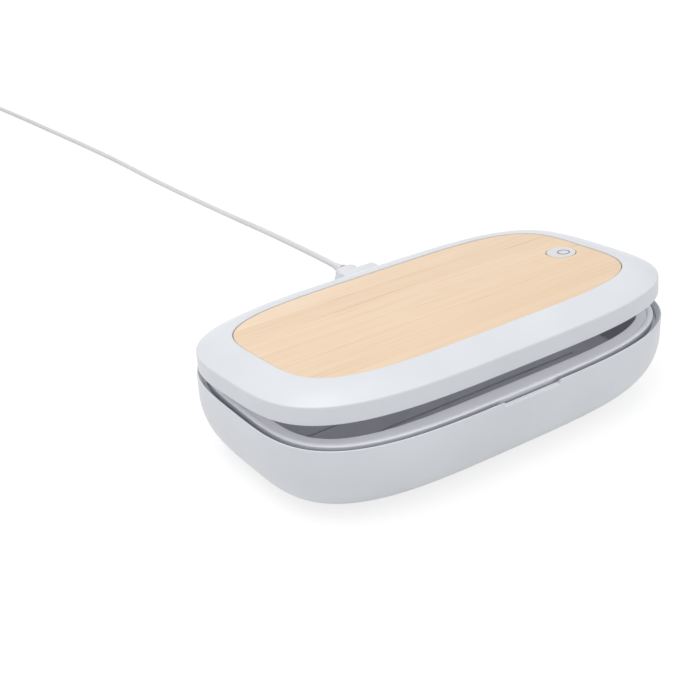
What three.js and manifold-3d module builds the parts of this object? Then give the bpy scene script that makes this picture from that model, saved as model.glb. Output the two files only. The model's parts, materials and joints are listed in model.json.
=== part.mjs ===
// A UV-C sanitizer box: a white rounded base with a dark tray, and a hinged lid with a bamboo panel
// and one button. A cable is in the port behind the hinge.
// Millimetres, +Z up, +X along the long side, the hinge towards +Y, the floor at Z = 0.
import * as THREE from 'three';
import { mergeVertices } from 'three/addons/utils/BufferGeometryUtils.js';
import Module from 'manifold-3d';

const wasm = await Module();
wasm.setup();

// Overall sizes
const bodyLength = 215;
const baseWidth = 130;
const lidStepIn = 2.6;
const basePower = 3.62;
const lidPower = 3.54;
const panelPower = 4.1;
const mouthPower = 4.1;
const seatGap = 0.3;
const cutOverrun = 2;
const weldTolerance = 0.0001;

// Base shell
const footHeight = 1;
const shellHeight = 34.5;
const shellWall = 2;
const shellFloor = 2.4;
const rollIn = 16.4;
const rollUp = 24;
const shellEdgeRound = 0.3;
const rimEdge = 0.5;
const rimFall = 1.9;
const shelfHeight = 3;
const shelfTaper = 3;
const notchLength = 31.2;
const notchDepth = 2.4;
const notchOffset = 0.8;

// Inner frame
const grooveWidth = 1.3;
const skirtThickness = 2;
const skirtHeight = 3.9;
const beadWidth = 2.4;
const beadRound = 0.7;
const beadRise = 0.7;
const ledgeThickness = 2;
const ledgeFall = 0.2;
const mouthEndMargin = 10.6;
const mouthSideMargin = 12.6;
const mouthRound = 0.6;

// Tray
const trayWall = 1.6;
const trayOverhang = 0.4;
const trayDraft = 4;
const trayFloorRise = 8.4;
const trayCorner = 4;
const trayRibs = 5;
const ribEndMargin = 36;
const ribSideMargin = 32.8;
const ribWidth = 1.4;
const ribHeight = 0.8;

// Feet and base screws
const footRadius = 7;
const footRecess = 1;
const footEndMargin = 37;
const footSideMargin = 33;
const baseScrewEndMargin = 50;
const baseScrewSideMargin = 31;
const bossRadius = 4;
const shellBossHeight = 2;
const trayBossRadius = 3.5;
const screwRadius = 1.25;
const screwHeadRadius = 2.5;
const screwHeadHeight = 1.4;
const baseScrewLength = 5.2;
const baseScrewRecess = 1.9;

// Hinge and the rear housing
const hingeBack = 1.6;
const hingeDrop = 0.2;
const knuckleRadius = 2.6;
const knuckleLength = 10;
const earLength = 6;
const endPlay = 0.4;
const pinRadius = 1;
const pinInset = 2.6;
const armInset = 1.2;
const housingRadius = 9;
const housingWidth = 20.6;
const housingFlat = 7.5;
const housingRelief = 0.7;
const portOffset = 5.2;
const portRise = 2.7;
const lidAjar = 5;

// Port, its board and the front magnet
const portWidth = 9.6;
const portThickness = 3.8;
const portWall = 0.3;
const portDepth = 7.6;
const portBoardWidth = 12.6;
const portBoardLength = 9.4;
const portBoardThickness = 1;
const magnetLength = 10;
const magnetHeight = 2.2;

// Lid shell
const lidGap = 0.4;
const bandHeight = 8.4;
const bandChamfer = 0.5;
const rimRise = 4.8;
const creaseRound = 0.35;
const lidWall = 2.2;
const deckThickness = 1.8;
const panelThickness = 2.2;
const panelSink = 0.4;
const panelEndMargin = 16.5;
const panelSideMargin = 16.2;
const cavityChamfer = 2.4;

// Lid cover, its windows, seal and screws
const coverRaise = 1.8;
const coverThickness = 1.6;
const sealInset = 7;
const sealWidth = 2;
const sealClearance = 0.4;
const windowRadius = 5.5;
const windowThickness = 0.9;
const windowLip = 1;
const windowCount = 3;
const windowEndMargin = 47.5;
const lidScrewInset = 11.6;
const lidScrewTurn = 38;
const lidScrewLength = 5;
const lidBossRadius = 3;

// Circuit board and what it carries
const boardLeftMargin = 38.5;
const boardRightMargin = 20.5;
const boardWidth = 34;
const boardThickness = 1.2;
const ledSize = 3.6;
const ledHeight = 1.1;
const stakeRadius = 2;
const sensorLength = 4;
const sensorWidth = 3;
const sensorHeight = 1.4;

// Button
const buttonEndMargin = 29.4;
const buttonRadius = 7;
const buttonTravel = 0.5;
const buttonProud = 0.2;
const capThickness = 1.8;
const capEdgeRound = 0.4;
const stemRadius = 2.2;
const switchSize = 6;
const switchHeight = 1.6;
const switchWell = 1.2;
const plungerRadius = 1.4;
const plungerHeight = 1.3;

// Cable, its plugs and its tie
const cordRadius = 1.5;
const plugWidth = 8.3;
const plugHeight = 2.5;
const plugLength = 6.3;
const gripGap = 0.6;
const gripWidth = 11.6;
const gripHeight = 6.6;
const gripLength = 6.5;
const gripRound = 3.1;
const gripTaper = 1.2;
const reliefLength = 6;
const reliefFrontRadius = 2.9;
const reliefEndRadius = 2;
const cordRise = 1.6;
const coilCentre = [-9, 596];
const coilRadius = 16.5;
const coilPitch = 3.5;
const coilLift = 1;
const coilLayers = 4;
const coilTurnsPerLayer = 1.8125;
const coilClimbTurns = 0.25;
const tailLength = 44;
const tailRunShares = [0.12, 0.35, 0.65, 0.88];
const tailDropShares = [0, 0.2, 0.8, 1];
const endGripLength = 20;
const endGripWidth = 15.6;
const endGripHeight = 7.6;
const endShellLength = 12;
const endShellWidth = 12;
const endShellHeight = 4.5;
const endShellWall = 0.4;
const endGripRound = 2.4;
const endGripBellyShare = 0.4;
const tieWidth = 8;
const tieThickness = 0.6;

// Counts of points and steps on curved surfaces
const outlinePoints = 56;
const outerRollSteps = 6;
const innerRollSteps = 4;
const rimSteps = 5;
const stakeSides = 12;
const postSides = 16;
const barrelSides = 20;
const discSides = 28;
const housingSides = 32;
const slabCornerSteps = 4;
const gripPoints = 28;
const cordSides = 8;
const runSteps = 46;
const tailSteps = 12;
const coilSides = 6;
const coilStepsPerTurn = 24;

// Places worked out from the sizes above
const lidWidth = baseWidth - 2 * lidStepIn;
const footX = bodyLength / 2 - footEndMargin;
const footY = baseWidth / 2 - footSideMargin;
const baseScrewX = bodyLength / 2 - baseScrewEndMargin;
const baseScrewY = baseWidth / 2 - baseScrewSideMargin;
const ribEnd = bodyLength / 2 - ribEndMargin;
const ribPitch = (baseWidth - 2 * ribSideMargin) / (trayRibs - 1);
const windowPitch = (bodyLength - 2 * windowEndMargin) / (windowCount - 1);
const boardLeft = boardLeftMargin - bodyLength / 2;
const boardRight = bodyLength / 2 - boardRightMargin;
const buttonX = bodyLength / 2 - buttonEndMargin;
const shellBottom = footHeight;
const shellTop = shellBottom + shellHeight;
const cavityFloor = shellBottom + shellFloor;
const hingeZ = shellTop - hingeDrop;
const hingeLocalY = baseWidth / 2 + hingeBack;
const baseY = -(hingeBack + housingFlat) / 2;
const hingeY = baseY + hingeLocalY;
const skirtBottom = shellTop - skirtHeight;
const ledgeTop = shellTop - beadRise;
const ledgeBottom = ledgeTop - ledgeFall - ledgeThickness;
const skirtInset = shellWall + grooveWidth;
const skirtInnerInset = skirtInset + skirtThickness;
const trayTop = ledgeBottom - seatGap;
const flangeBottom = trayTop - trayWall;
const trayFloor = shellBottom + trayFloorRise;
const lidBottom = shellTop + lidGap;
const creaseZ = lidBottom + bandHeight;
const panelTop = creaseZ + rimRise;
const panelFace = panelTop - panelSink;
const deckTop = panelFace - panelThickness - seatGap;
const deckBottom = deckTop - deckThickness;
const coverBottom = lidBottom + coverRaise;
const coverTop = coverBottom + coverThickness;
const windowBottom = coverTop - windowThickness;
const boardBottom = coverTop + seatGap + ledHeight + seatGap;
const boardTop = boardBottom + boardThickness;
const switchBottom = boardTop + seatGap;
const switchTop = switchBottom + switchHeight;
const plungerBottom = switchTop - switchWell + buttonTravel + seatGap;
const stemBottom = plungerBottom + plungerHeight + seatGap;
const capTop = panelFace + buttonProud;
const portZ = hingeZ + portRise;
const padY = hingeY + housingFlat;
const ajar = THREE.MathUtils.degToRad(lidAjar);

// Materials
const material = (color, roughness, metalness = 0) =>
  new THREE.MeshStandardMaterial({ color, roughness, metalness });
const whiteShell = material(0xe1e4e8, 0.42);
const whiteFrame = material(0xdcdde2, 0.38);
const darkTray = material(0x63646b, 0.5);
const bamboo = material(0xecd6bb, 0.55);
const buttonWhite = material(0xdfdfe2, 0.35);
const coverGrey = material(0xc4c6cb, 0.3, 0.4);
const rubber = material(0x8f9196, 0.9);
const steel = material(0xb9bcc0, 0.3, 0.9);
const boardGreen = material(0x2f6b45, 0.6);
const blackPart = material(0x222326, 0.5);
const quartz = material(0xe8eef5, 0.1);
const cordWhite = material(0xe4e4e7, 0.5);

// Outlines and lofted bodies
const outlinePoint = (halfX, halfY, power, turn) => {
  const c = Math.cos(turn);
  const s = Math.sin(turn);
  return [
    halfX * Math.sign(c) * Math.abs(c) ** (2 / power),
    halfY * Math.sign(s) * Math.abs(s) ** (2 / power),
  ];
};

const outline = (halfX, halfY, power) =>
  Array.from({ length: outlinePoints }, (_, i) =>
    outlinePoint(halfX, halfY, power, (2 * Math.PI * (i + 0.5)) / outlinePoints),
  );

const baseRing = (inset, z, sideInset = inset, power = basePower) =>
  outline(bodyLength / 2 - inset, baseWidth / 2 - sideInset, power).map(([x, y]) => [x, y, z]);

// Follows the chamber's mouth, set back from it by the inset
const mouthRing = (inset, z) =>
  baseRing(mouthEndMargin + inset, z, mouthSideMargin + inset, mouthPower);

const lidRing = (inset, z, sideInset = inset, power = lidPower) =>
  outline(bodyLength / 2 - inset, lidWidth / 2 - sideInset, power).map(([x, y]) => [x, y, z]);

const facing = (positions, indices) => {
  let volume = 0;
  const at = (i) => new THREE.Vector3(...positions[i]);
  for (let i = 0; i < indices.length; i += 3) {
    volume += at(indices[i]).dot(at(indices[i + 1]).cross(at(indices[i + 2])));
  }
  const order = volume < 0 ? indices.slice().reverse() : indices;
  const geometry = new THREE.BufferGeometry();
  geometry.setAttribute('position', new THREE.Float32BufferAttribute(positions.flat(), 3));
  geometry.setIndex(order);
  return geometry;
};

const bands = (rings, closed) => {
  const count = rings[0].length;
  const indices = [];
  const last = closed ? rings.length : rings.length - 1;
  for (let r = 0; r < last; r += 1) {
    const low = r * count;
    const high = ((r + 1) % rings.length) * count;
    for (let i = 0; i < count; i += 1) {
      const j = (i + 1) % count;
      indices.push(low + i, low + j, high + j, low + i, high + j, high + i);
    }
  }
  return indices;
};

// A body whose first and last rings are closed by fans
const stacked = (rings) => {
  const count = rings[0].length;
  const positions = rings.flat();
  const indices = bands(rings, false);
  const fan = (ring, first, flip) => {
    const centre = positions.length;
    const mean = [0, 1, 2].map((axis) => ring.reduce((sum, p) => sum + p[axis], 0) / count);
    positions.push(mean);
    for (let i = 0; i < count; i += 1) {
      const j = (i + 1) % count;
      indices.push(centre, first + (flip ? j : i), first + (flip ? i : j));
    }
  };
  fan(rings[0], 0, true);
  fan(rings[rings.length - 1], (rings.length - 1) * count, false);
  return facing(positions, indices);
};

// A ring-shaped body whose last ring joins its first
const hooped = (rings) => facing(rings.flat(), bands(rings, true));

const roundProfile = (from, to, steps) => {
  const values = [];
  for (let i = 0; i <= steps; i += 1) {
    const turn = (Math.PI / 2) * (i / steps);
    const inset = from[0] + (to[0] - from[0]) * Math.sin(turn);
    const z = from[1] + (to[1] - from[1]) * (1 - Math.cos(turn));
    values.push([inset, z]);
  }
  return values;
};

// Plain bodies
const block = (x0, x1, y0, y1, z0, z1) => {
  const geometry = new THREE.BoxGeometry(x1 - x0, y1 - y0, z1 - z0);
  return geometry.translate((x0 + x1) / 2, (y0 + y1) / 2, (z0 + z1) / 2);
};

const post = (radius, x, y, z0, z1, sides = postSides) => {
  const geometry = new THREE.CylinderGeometry(radius, radius, z1 - z0, sides);
  return geometry.rotateX(Math.PI / 2).translate(x, y, (z0 + z1) / 2);
};

const barrel = (radius, x0, x1, y, z, sides = barrelSides) => {
  const geometry = new THREE.CylinderGeometry(radius, radius, x1 - x0, sides);
  return geometry.rotateZ(Math.PI / 2).translate((x0 + x1) / 2, y, z);
};

// Joining and cutting
const solid = (geometry) => {
  const bare = new THREE.BufferGeometry();
  bare.setAttribute('position', geometry.getAttribute('position').clone());
  bare.setIndex(geometry.getIndex() ? geometry.getIndex().clone() : null);
  const merged = mergeVertices(bare, weldTolerance);
  const mesh = new wasm.Mesh({
    numProp: 3,
    vertProperties: new Float32Array(merged.getAttribute('position').array),
    triVerts: new Uint32Array(merged.getIndex().array),
  });
  mesh.merge();
  return new wasm.Manifold(mesh);
};

const surface = (body) => {
  const mesh = body.getMesh();
  const geometry = new THREE.BufferGeometry();
  geometry.setAttribute('position', new THREE.BufferAttribute(mesh.vertProperties, 3));
  geometry.setIndex(new THREE.BufferAttribute(mesh.triVerts, 1));
  return geometry;
};

const shaped = (start, added = [], removed = []) => {
  let body = solid(start);
  for (const piece of added) {
    body = body.add(solid(piece));
  }
  for (const piece of removed) {
    body = body.subtract(solid(piece));
  }
  return surface(body);
};

// The assembly: a base group and a lid group turned ajar about the hinge
const assembly = new THREE.Group();
const base = new THREE.Group();
base.position.set(0, baseY, 0);
const lid = new THREE.Group();
lid.position.set(0, hingeY, hingeZ);
lid.rotation.x = -ajar;
const lidInside = new THREE.Group();
lidInside.position.set(0, -hingeLocalY, -hingeZ);
lid.add(lidInside);
const cord = new THREE.Group();
assembly.add(base, lid, cord);

const place = (group, name, geometry, look) => {
  const mesh = new THREE.Mesh(geometry, look);
  mesh.name = name;
  group.add(mesh);
  return mesh;
};

const sides = [['left', -1], ['right', 1]];
const corners = [
  ['front_left', -1, -1],
  ['front_right', 1, -1],
  ['rear_left', -1, 1],
  ['rear_right', 1, 1],
];

// The lid screws follow the seal's line at the corners
const [lidScrewX, lidScrewY] = outlinePoint(
  bodyLength / 2 - lidScrewInset,
  lidWidth / 2 - lidScrewInset,
  lidPower,
  THREE.MathUtils.degToRad(lidScrewTurn),
);

const housingEnd = (side, extra = 0) => portOffset + side * (housingWidth / 2 + extra);
const span = (a, b) => [Math.min(a, b), Math.max(a, b)];
const knuckleSpan = (side, extra = 0) =>
  span(housingEnd(side, endPlay - extra), housingEnd(side, endPlay + knuckleLength + extra));
const earStart = 2 * endPlay + knuckleLength;
const earEnd = earStart + earLength;
const earSpan = (side) => span(housingEnd(side, earStart), housingEnd(side, earEnd));
const pinSpan = (side) => span(housingEnd(side, -pinInset), housingEnd(side, earEnd - seatGap));
const pinHole = (side) => {
  const ends = span(housingEnd(side, -pinInset - seatGap), housingEnd(side, earEnd + cutOverrun));
  return barrel(pinRadius + seatGap, ...ends, hingeLocalY, hingeZ);
};
const housingCut = (clearance) =>
  barrel(
    housingRadius + clearance,
    ...span(housingEnd(-1, clearance), housingEnd(1, clearance)),
    hingeLocalY,
    hingeZ,
    housingSides,
  );

// Base shell: floor, rolled sides, a rim that falls inwards, inner shelf, rear ears, front notch
const outerRoll = roundProfile([rollIn, shellBottom], [0, shellBottom + rollUp], outerRollSteps);
const shelfTop = skirtBottom - seatGap;
const innerRoll = roundProfile(
  [rollIn + shellWall, cavityFloor],
  [shellWall, shelfTop - shelfHeight - shelfTaper],
  innerRollSteps,
);
const makeBaseShell = () => {
  const rings = [
    ...outerRoll.map(([inset, z]) => baseRing(inset, z)),
    baseRing(0, shellTop - shellEdgeRound),
    baseRing(shellEdgeRound, shellTop),
    baseRing(rimEdge, shellTop),
    baseRing(shellWall, shellTop - rimFall),
    baseRing(shellWall, shelfTop),
    baseRing(skirtInnerInset, shelfTop),
    baseRing(skirtInnerInset, shelfTop - shelfHeight),
    ...innerRoll.reverse().map(([inset, z]) => baseRing(inset, z)),
  ];
  const ears = sides.flatMap(([, side]) => [
    barrel(knuckleRadius, ...earSpan(side), hingeLocalY, hingeZ),
    block(
      ...earSpan(side),
      baseWidth / 2 - armInset,
      hingeLocalY,
      hingeZ - knuckleRadius,
      hingeZ,
    ),
  ]);
  const bosses = corners.map(([, sx, sy]) =>
    post(
      bossRadius,
      sx * baseScrewX,
      sy * baseScrewY,
      cavityFloor - shellFloor / 2,
      cavityFloor + shellBossHeight,
    ),
  );
  const notchSlope = (notchDepth - rimFall) / shellWall;
  const notchFront = -baseWidth / 2 - cutOverrun;
  const notchBack = -baseWidth / 2 + shellWall;
  const notchSection = (side) => {
    const x = notchOffset + (side * notchLength) / 2;
    return [
      [x, notchFront, shellTop - notchDepth - notchSlope * cutOverrun],
      [x, notchBack, shellTop - rimFall],
      [x, notchBack, shellTop + cutOverrun],
      [x, notchFront, shellTop + cutOverrun],
    ];
  };
  const notch = stacked([notchSection(-1), notchSection(1)]);
  const footCuts = corners.map(([, sx, sy]) =>
    post(
      footRadius + seatGap,
      sx * footX,
      sy * footY,
      shellBottom - cutOverrun,
      shellBottom + footRecess,
      discSides,
    ),
  );
  const screwCuts = corners.flatMap(([, sx, sy]) => {
    const x = sx * baseScrewX;
    const y = sy * baseScrewY;
    return [
      post(screwHeadRadius + seatGap, x, y, shellBottom - cutOverrun, shellBottom + baseScrewRecess),
      post(screwRadius + seatGap, x, y, shellBottom, cavityFloor + shellBossHeight + cutOverrun),
    ];
  });
  const knuckleCuts = sides.map(([, side]) =>
    barrel(knuckleRadius + 2 * seatGap, ...knuckleSpan(side, seatGap), hingeLocalY, hingeZ),
  );
  const pinCuts = sides.map(([, side]) => pinHole(side));
  return shaped(
    stacked(rings),
    [...ears, ...bosses],
    [notch, ...footCuts, ...screwCuts, ...knuckleCuts, ...pinCuts, housingCut(seatGap)],
  );
};
place(base, 'base_shell', makeBaseShell(), whiteShell);

// Inner frame: an outer skirt, a rounded bead and a ledge round the chamber mouth
const makeInnerFrame = () => {
  const rings = [
    baseRing(skirtInset, skirtBottom),
    baseRing(skirtInset, shellTop - beadRound),
    baseRing(skirtInset + beadRound * (1 - Math.SQRT1_2), shellTop - beadRound * (1 - Math.SQRT1_2)),
    baseRing(skirtInset + beadRound, shellTop),
    baseRing(skirtInset + beadWidth - beadRound, shellTop),
    baseRing(skirtInset + beadWidth, ledgeTop),
    mouthRing(-mouthRound, ledgeTop - ledgeFall),
    mouthRing(0, ledgeTop - ledgeFall - mouthRound),
    mouthRing(0, ledgeBottom),
    baseRing(skirtInnerInset, ledgeBottom),
    baseRing(skirtInnerInset, skirtBottom),
  ];
  return shaped(hooped(rings), [], [housingCut(seatGap)]);
};
place(base, 'inner_frame', makeInnerFrame(), whiteFrame);

// Tray: a flange under the ledge, tapering walls and ribs that keep a phone off the floor
const magnetFront = baseWidth / 2 - skirtInnerInset - seatGap;
const magnetBack = baseWidth / 2 - mouthSideMargin + trayOverhang + trayWall + seatGap;
const makeTray = () => {
  const cornerSteps = [0, 1 / 3, 2 / 3, 1].map((share) => share * (Math.PI / 2));
  const outside = cornerSteps.map((turn) => {
    const inset = trayDraft + trayCorner * (1 - Math.sin(turn)) - trayWall;
    const z = trayFloor - trayWall + trayCorner * (1 - Math.cos(turn));
    return mouthRing(inset - trayOverhang, z);
  });
  const inside = cornerSteps.map((turn) => {
    const inset = trayDraft + (trayCorner - trayWall) * (1 - Math.sin(turn));
    const z = trayFloor + (trayCorner - trayWall) * (1 - Math.cos(turn));
    return mouthRing(inset - trayOverhang, z);
  });
  const rings = [
    ...outside,
    mouthRing(-trayOverhang - trayWall, flangeBottom),
    baseRing(skirtInnerInset + seatGap, flangeBottom),
    baseRing(skirtInnerInset + seatGap, trayTop),
    mouthRing(-trayOverhang, trayTop),
    ...inside.reverse(),
  ];
  const ribs = Array.from({ length: trayRibs }, (_, i) => {
    const y = (i - (trayRibs - 1) / 2) * ribPitch;
    const ribBottom = trayFloor - trayWall / 2;
    return block(-ribEnd, ribEnd, y - ribWidth / 2, y + ribWidth / 2, ribBottom, trayFloor + ribHeight);
  });
  const bossBottom = cavityFloor + shellBossHeight + seatGap;
  const bosses = corners.map(([, sx, sy]) =>
    post(trayBossRadius, sx * baseScrewX, sy * baseScrewY, bossBottom, trayFloor - trayWall / 2),
  );
  const screwTop = shellBottom + baseScrewRecess + baseScrewLength;
  const pilots = corners.map(([, sx, sy]) =>
    post(screwRadius + seatGap, sx * baseScrewX, sy * baseScrewY, bossBottom - cutOverrun, screwTop),
  );
  const magnetCut = block(
    -magnetLength / 2 - seatGap,
    magnetLength / 2 + seatGap,
    -baseWidth / 2,
    -magnetBack + seatGap,
    flangeBottom - cutOverrun,
    trayTop + cutOverrun,
  );
  return shaped(stacked(rings), [...ribs, ...bosses], [...pilots, magnetCut, housingCut(seatGap)]);
};
place(base, 'tray_liner', makeTray(), darkTray);

place(
  base,
  'interlock_magnet',
  block(
    -magnetLength / 2,
    magnetLength / 2,
    -magnetFront,
    -magnetBack,
    trayTop - magnetHeight,
    trayTop,
  ),
  steel,
);

// Feet and base screws
const makeFoot = () => post(footRadius, 0, 0, 0, footHeight + footRecess - seatGap, discSides);
const makeScrew = (length) => {
  const head = post(screwHeadRadius, 0, 0, 0, screwHeadHeight);
  const shank = post(screwRadius, 0, 0, screwHeadHeight / 2, screwHeadHeight + length);
  return shaped(head, [shank]);
};
for (const [name, sx, sy] of corners) {
  const foot = place(base, `foot_${name}`, makeFoot(), rubber);
  foot.position.set(sx * footX, sy * footY, 0);
  const screw = place(base, `base_screw_${name}`, makeScrew(baseScrewLength - screwHeadHeight), steel);
  screw.position.set(
    sx * baseScrewX,
    sy * baseScrewY,
    shellBottom + baseScrewRecess - seatGap - screwHeadHeight,
  );
}

// Rear housing: a barrel round the hinge line that holds the port
const portCavityTop = portZ + portThickness / 2 + seatGap;
const portCavityBottom = portZ - portThickness / 2 - seatGap - portBoardThickness - seatGap;
const portFront = padY - baseY - seatGap - portDepth;
const boardBack = portFront + portDepth / 2;
const makeHousing = () => {
  const body = barrel(housingRadius, housingEnd(-1), housingEnd(1), hingeLocalY, hingeZ, housingSides);
  const padCut = block(
    housingEnd(-1, cutOverrun),
    housingEnd(1, cutOverrun),
    hingeLocalY + housingFlat,
    hingeLocalY + housingRadius + cutOverrun,
    hingeZ - housingRadius,
    hingeZ + housingRadius,
  );
  const portCut = block(
    portOffset - portWidth / 2 - seatGap,
    portOffset + portWidth / 2 + seatGap,
    portFront - seatGap,
    hingeLocalY + housingFlat + cutOverrun,
    portZ - portThickness / 2 - seatGap,
    portCavityTop,
  );
  const boardCut = block(
    portOffset - portBoardWidth / 2 - seatGap,
    portOffset + portBoardWidth / 2 + seatGap,
    boardBack - portBoardLength - seatGap,
    boardBack + seatGap,
    portCavityBottom,
    portCavityTop,
  );
  const wireWay = block(
    portOffset - portWidth / 2,
    portOffset + portWidth / 2,
    hingeLocalY - housingRadius - cutOverrun,
    boardBack - portBoardLength,
    portZ - portThickness / 2,
    portCavityTop,
  );
  return shaped(body, [], [padCut, portCut, boardCut, wireWay, ...sides.map(([, side]) => pinHole(side))]);
};
place(base, 'port_housing', makeHousing(), whiteShell);

const roundedSlab = (width, height, radius) => {
  const shape = new THREE.Shape();
  const x = width / 2;
  const y = height / 2;
  shape.moveTo(-x + radius, -y);
  shape.lineTo(x - radius, -y);
  shape.absarc(x - radius, -y + radius, radius, -Math.PI / 2, 0);
  shape.lineTo(x, y - radius);
  shape.absarc(x - radius, y - radius, radius, 0, Math.PI / 2);
  shape.lineTo(-x + radius, y);
  shape.absarc(-x + radius, y - radius, radius, Math.PI / 2, Math.PI);
  shape.lineTo(-x, -y + radius);
  shape.absarc(-x + radius, -y + radius, radius, Math.PI, (3 * Math.PI) / 2);
  return shape;
};

// A slab extruded towards +Y from y0 to y1, centred on x and z
const slabAlongY = (width, height, radius, x, y0, y1, z) => {
  const geometry = new THREE.ExtrudeGeometry(roundedSlab(width, height, radius), {
    depth: y1 - y0,
    bevelEnabled: false,
    curveSegments: slabCornerSteps,
  });
  return geometry.rotateX(Math.PI / 2).translate(x, y1, z);
};

const makePort = () => {
  const round = portThickness / 2 - portWall;
  const outer = slabAlongY(
    portWidth,
    portThickness,
    round + portWall,
    portOffset,
    portFront,
    portFront + portDepth,
    portZ,
  );
  const inner = slabAlongY(
    portWidth - 2 * portWall,
    portThickness - 2 * portWall,
    round,
    portOffset,
    portFront + portWall,
    portFront + portDepth + cutOverrun,
    portZ,
  );
  return shaped(outer, [], [inner]);
};
place(base, 'usb_port', makePort(), steel);

place(
  base,
  'port_board',
  block(
    portOffset - portBoardWidth / 2,
    portOffset + portBoardWidth / 2,
    boardBack - portBoardLength,
    boardBack,
    portCavityBottom + seatGap / 2,
    portCavityBottom + seatGap / 2 + portBoardThickness,
  ),
  boardGreen,
);

for (const [name, side] of sides) {
  const pin = barrel(pinRadius, ...pinSpan(side), hingeLocalY, hingeZ, postSides);
  place(base, `hinge_pin_${name}`, pin, steel);
}

// Lid shell: band, crease, convex rim, panel recess, deck and hinge knuckles
const recessEnd = panelEndMargin - seatGap;
const recessSide = panelSideMargin - seatGap;
const makeLidShell = () => {
  const rim = Array.from({ length: rimSteps + 1 }, (_, i) => {
    const share = i / rimSteps;
    const z = creaseZ + (panelTop - creaseZ) * Math.sin((share * Math.PI) / 2);
    const end = creaseRound + (recessEnd - creaseRound) * share;
    const side = creaseRound + (recessSide - creaseRound) * share;
    return lidRing(end, z, side, lidPower + (panelPower - lidPower) * share);
  });
  const cavityTopInset = lidWall + cavityChamfer;
  const rings = [
    lidRing(recessEnd, deckTop, recessSide, panelPower),
    ...rim.reverse(),
    lidRing(0, creaseZ - creaseRound),
    lidRing(0, lidBottom + bandChamfer),
    lidRing(bandChamfer / 2, lidBottom),
    lidRing(lidWall, lidBottom),
    lidRing(lidWall, deckBottom - cavityChamfer),
    lidRing(cavityTopInset, deckBottom),
  ];
  const knuckles = sides.flatMap(([, side]) => [
    barrel(knuckleRadius, ...knuckleSpan(side), hingeLocalY, hingeZ),
    block(
      ...knuckleSpan(side),
      lidWidth / 2 - armInset,
      hingeLocalY,
      lidBottom + seatGap / 2,
      hingeZ + knuckleRadius,
    ),
  ]);
  const screwBosses = corners.map(([, sx, sy]) =>
    post(lidBossRadius, sx * lidScrewX, sy * lidScrewY, coverTop + seatGap, deckBottom + deckThickness / 2),
  );
  const stakes = corners.map(([, sx, sy]) =>
    post(
      stakeRadius,
      sx < 0 ? boardLeft + 2 * stakeRadius : boardRight - 2 * stakeRadius,
      sy * (boardWidth / 2 - 2 * stakeRadius),
      boardTop + seatGap,
      deckBottom + deckThickness / 2,
      stakeSides,
    ),
  );
  const pilots = corners.map(([, sx, sy]) =>
    post(
      screwRadius + seatGap,
      sx * lidScrewX,
      sy * lidScrewY,
      coverTop - cutOverrun,
      coverBottom + lidScrewLength,
    ),
  );
  const buttonHole = post(switchSize, buttonX, 0, deckBottom - cutOverrun, deckTop + cutOverrun, discSides);
  const pinCuts = sides.map(([, side]) => pinHole(side));
  return shaped(
    stacked(rings),
    [...knuckles, ...screwBosses, ...stakes],
    [buttonHole, ...pilots, ...pinCuts, housingCut(housingRelief)],
  );
};
place(lidInside, 'lid_shell', makeLidShell(), whiteShell);

// Bamboo panel with the button's hole
const makePanel = () => {
  const bottom = deckTop + seatGap;
  const rings = [
    lidRing(panelEndMargin, bottom, panelSideMargin, panelPower),
    lidRing(panelEndMargin, panelFace, panelSideMargin, panelPower),
  ];
  const top = panelFace + cutOverrun;
  const hole = post(buttonRadius + seatGap, buttonX, 0, bottom - cutOverrun, top, housingSides);
  return shaped(stacked(rings), [], [hole]);
};
place(lidInside, 'bamboo_panel', makePanel(), bamboo);

// Lid cover: the reflecting plate over the chamber, with three windows
const windowPlaces = Array.from({ length: windowCount }, (_, i) => (i - (windowCount - 1) / 2) * windowPitch);
const makeCover = () => {
  const inset = lidWall + seatGap;
  const rings = [lidRing(inset, coverBottom), lidRing(inset, coverTop)];
  const cutBottom = coverBottom - cutOverrun;
  const cutTop = coverTop + cutOverrun;
  const windows = windowPlaces.flatMap((x) => [
    post(windowRadius - windowLip, x, 0, cutBottom, cutTop),
    post(windowRadius + seatGap, x, 0, windowBottom - seatGap, cutTop, discSides),
  ]);
  const screwCuts = corners.map(([, sx, sy]) =>
    post(screwRadius + seatGap, sx * lidScrewX, sy * lidScrewY, cutBottom, cutTop),
  );
  return shaped(stacked(rings), [], [...windows, ...screwCuts, housingCut(housingRelief)]);
};
place(lidInside, 'lid_cover', makeCover(), coverGrey);

const makeSeal = () => {
  const bottom = ledgeTop + sealClearance;
  const top = coverBottom - seatGap;
  return hooped([
    lidRing(sealInset, bottom),
    lidRing(sealInset, top),
    lidRing(sealInset + sealWidth, top),
    lidRing(sealInset + sealWidth, bottom),
  ]);
};
place(lidInside, 'lid_seal', makeSeal(), rubber);

windowPlaces.forEach((x, i) => {
  place(
    lidInside,
    `led_window_${i + 1}`,
    post(windowRadius, x, 0, windowBottom, windowBottom + windowThickness, discSides),
    quartz,
  );
  const bottom = coverTop + seatGap;
  place(
    lidInside,
    `uv_led_${i + 1}`,
    block(x - ledSize / 2, x + ledSize / 2, -ledSize / 2, ledSize / 2, bottom, bottom + ledHeight),
    blackPart,
  );
});

for (const [name, sx, sy] of corners) {
  const screw = place(lidInside, `lid_screw_${name}`, makeScrew(lidScrewLength - screwHeadHeight), steel);
  screw.position.set(
    sx * lidScrewX,
    sy * lidScrewY,
    coverBottom - seatGap - screwHeadHeight,
  );
}

// Circuit board, switch and lid sensor
place(
  lidInside,
  'main_board',
  block(
    boardLeft,
    boardRight,
    -boardWidth / 2,
    boardWidth / 2,
    boardBottom,
    boardTop,
  ),
  boardGreen,
);

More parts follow.
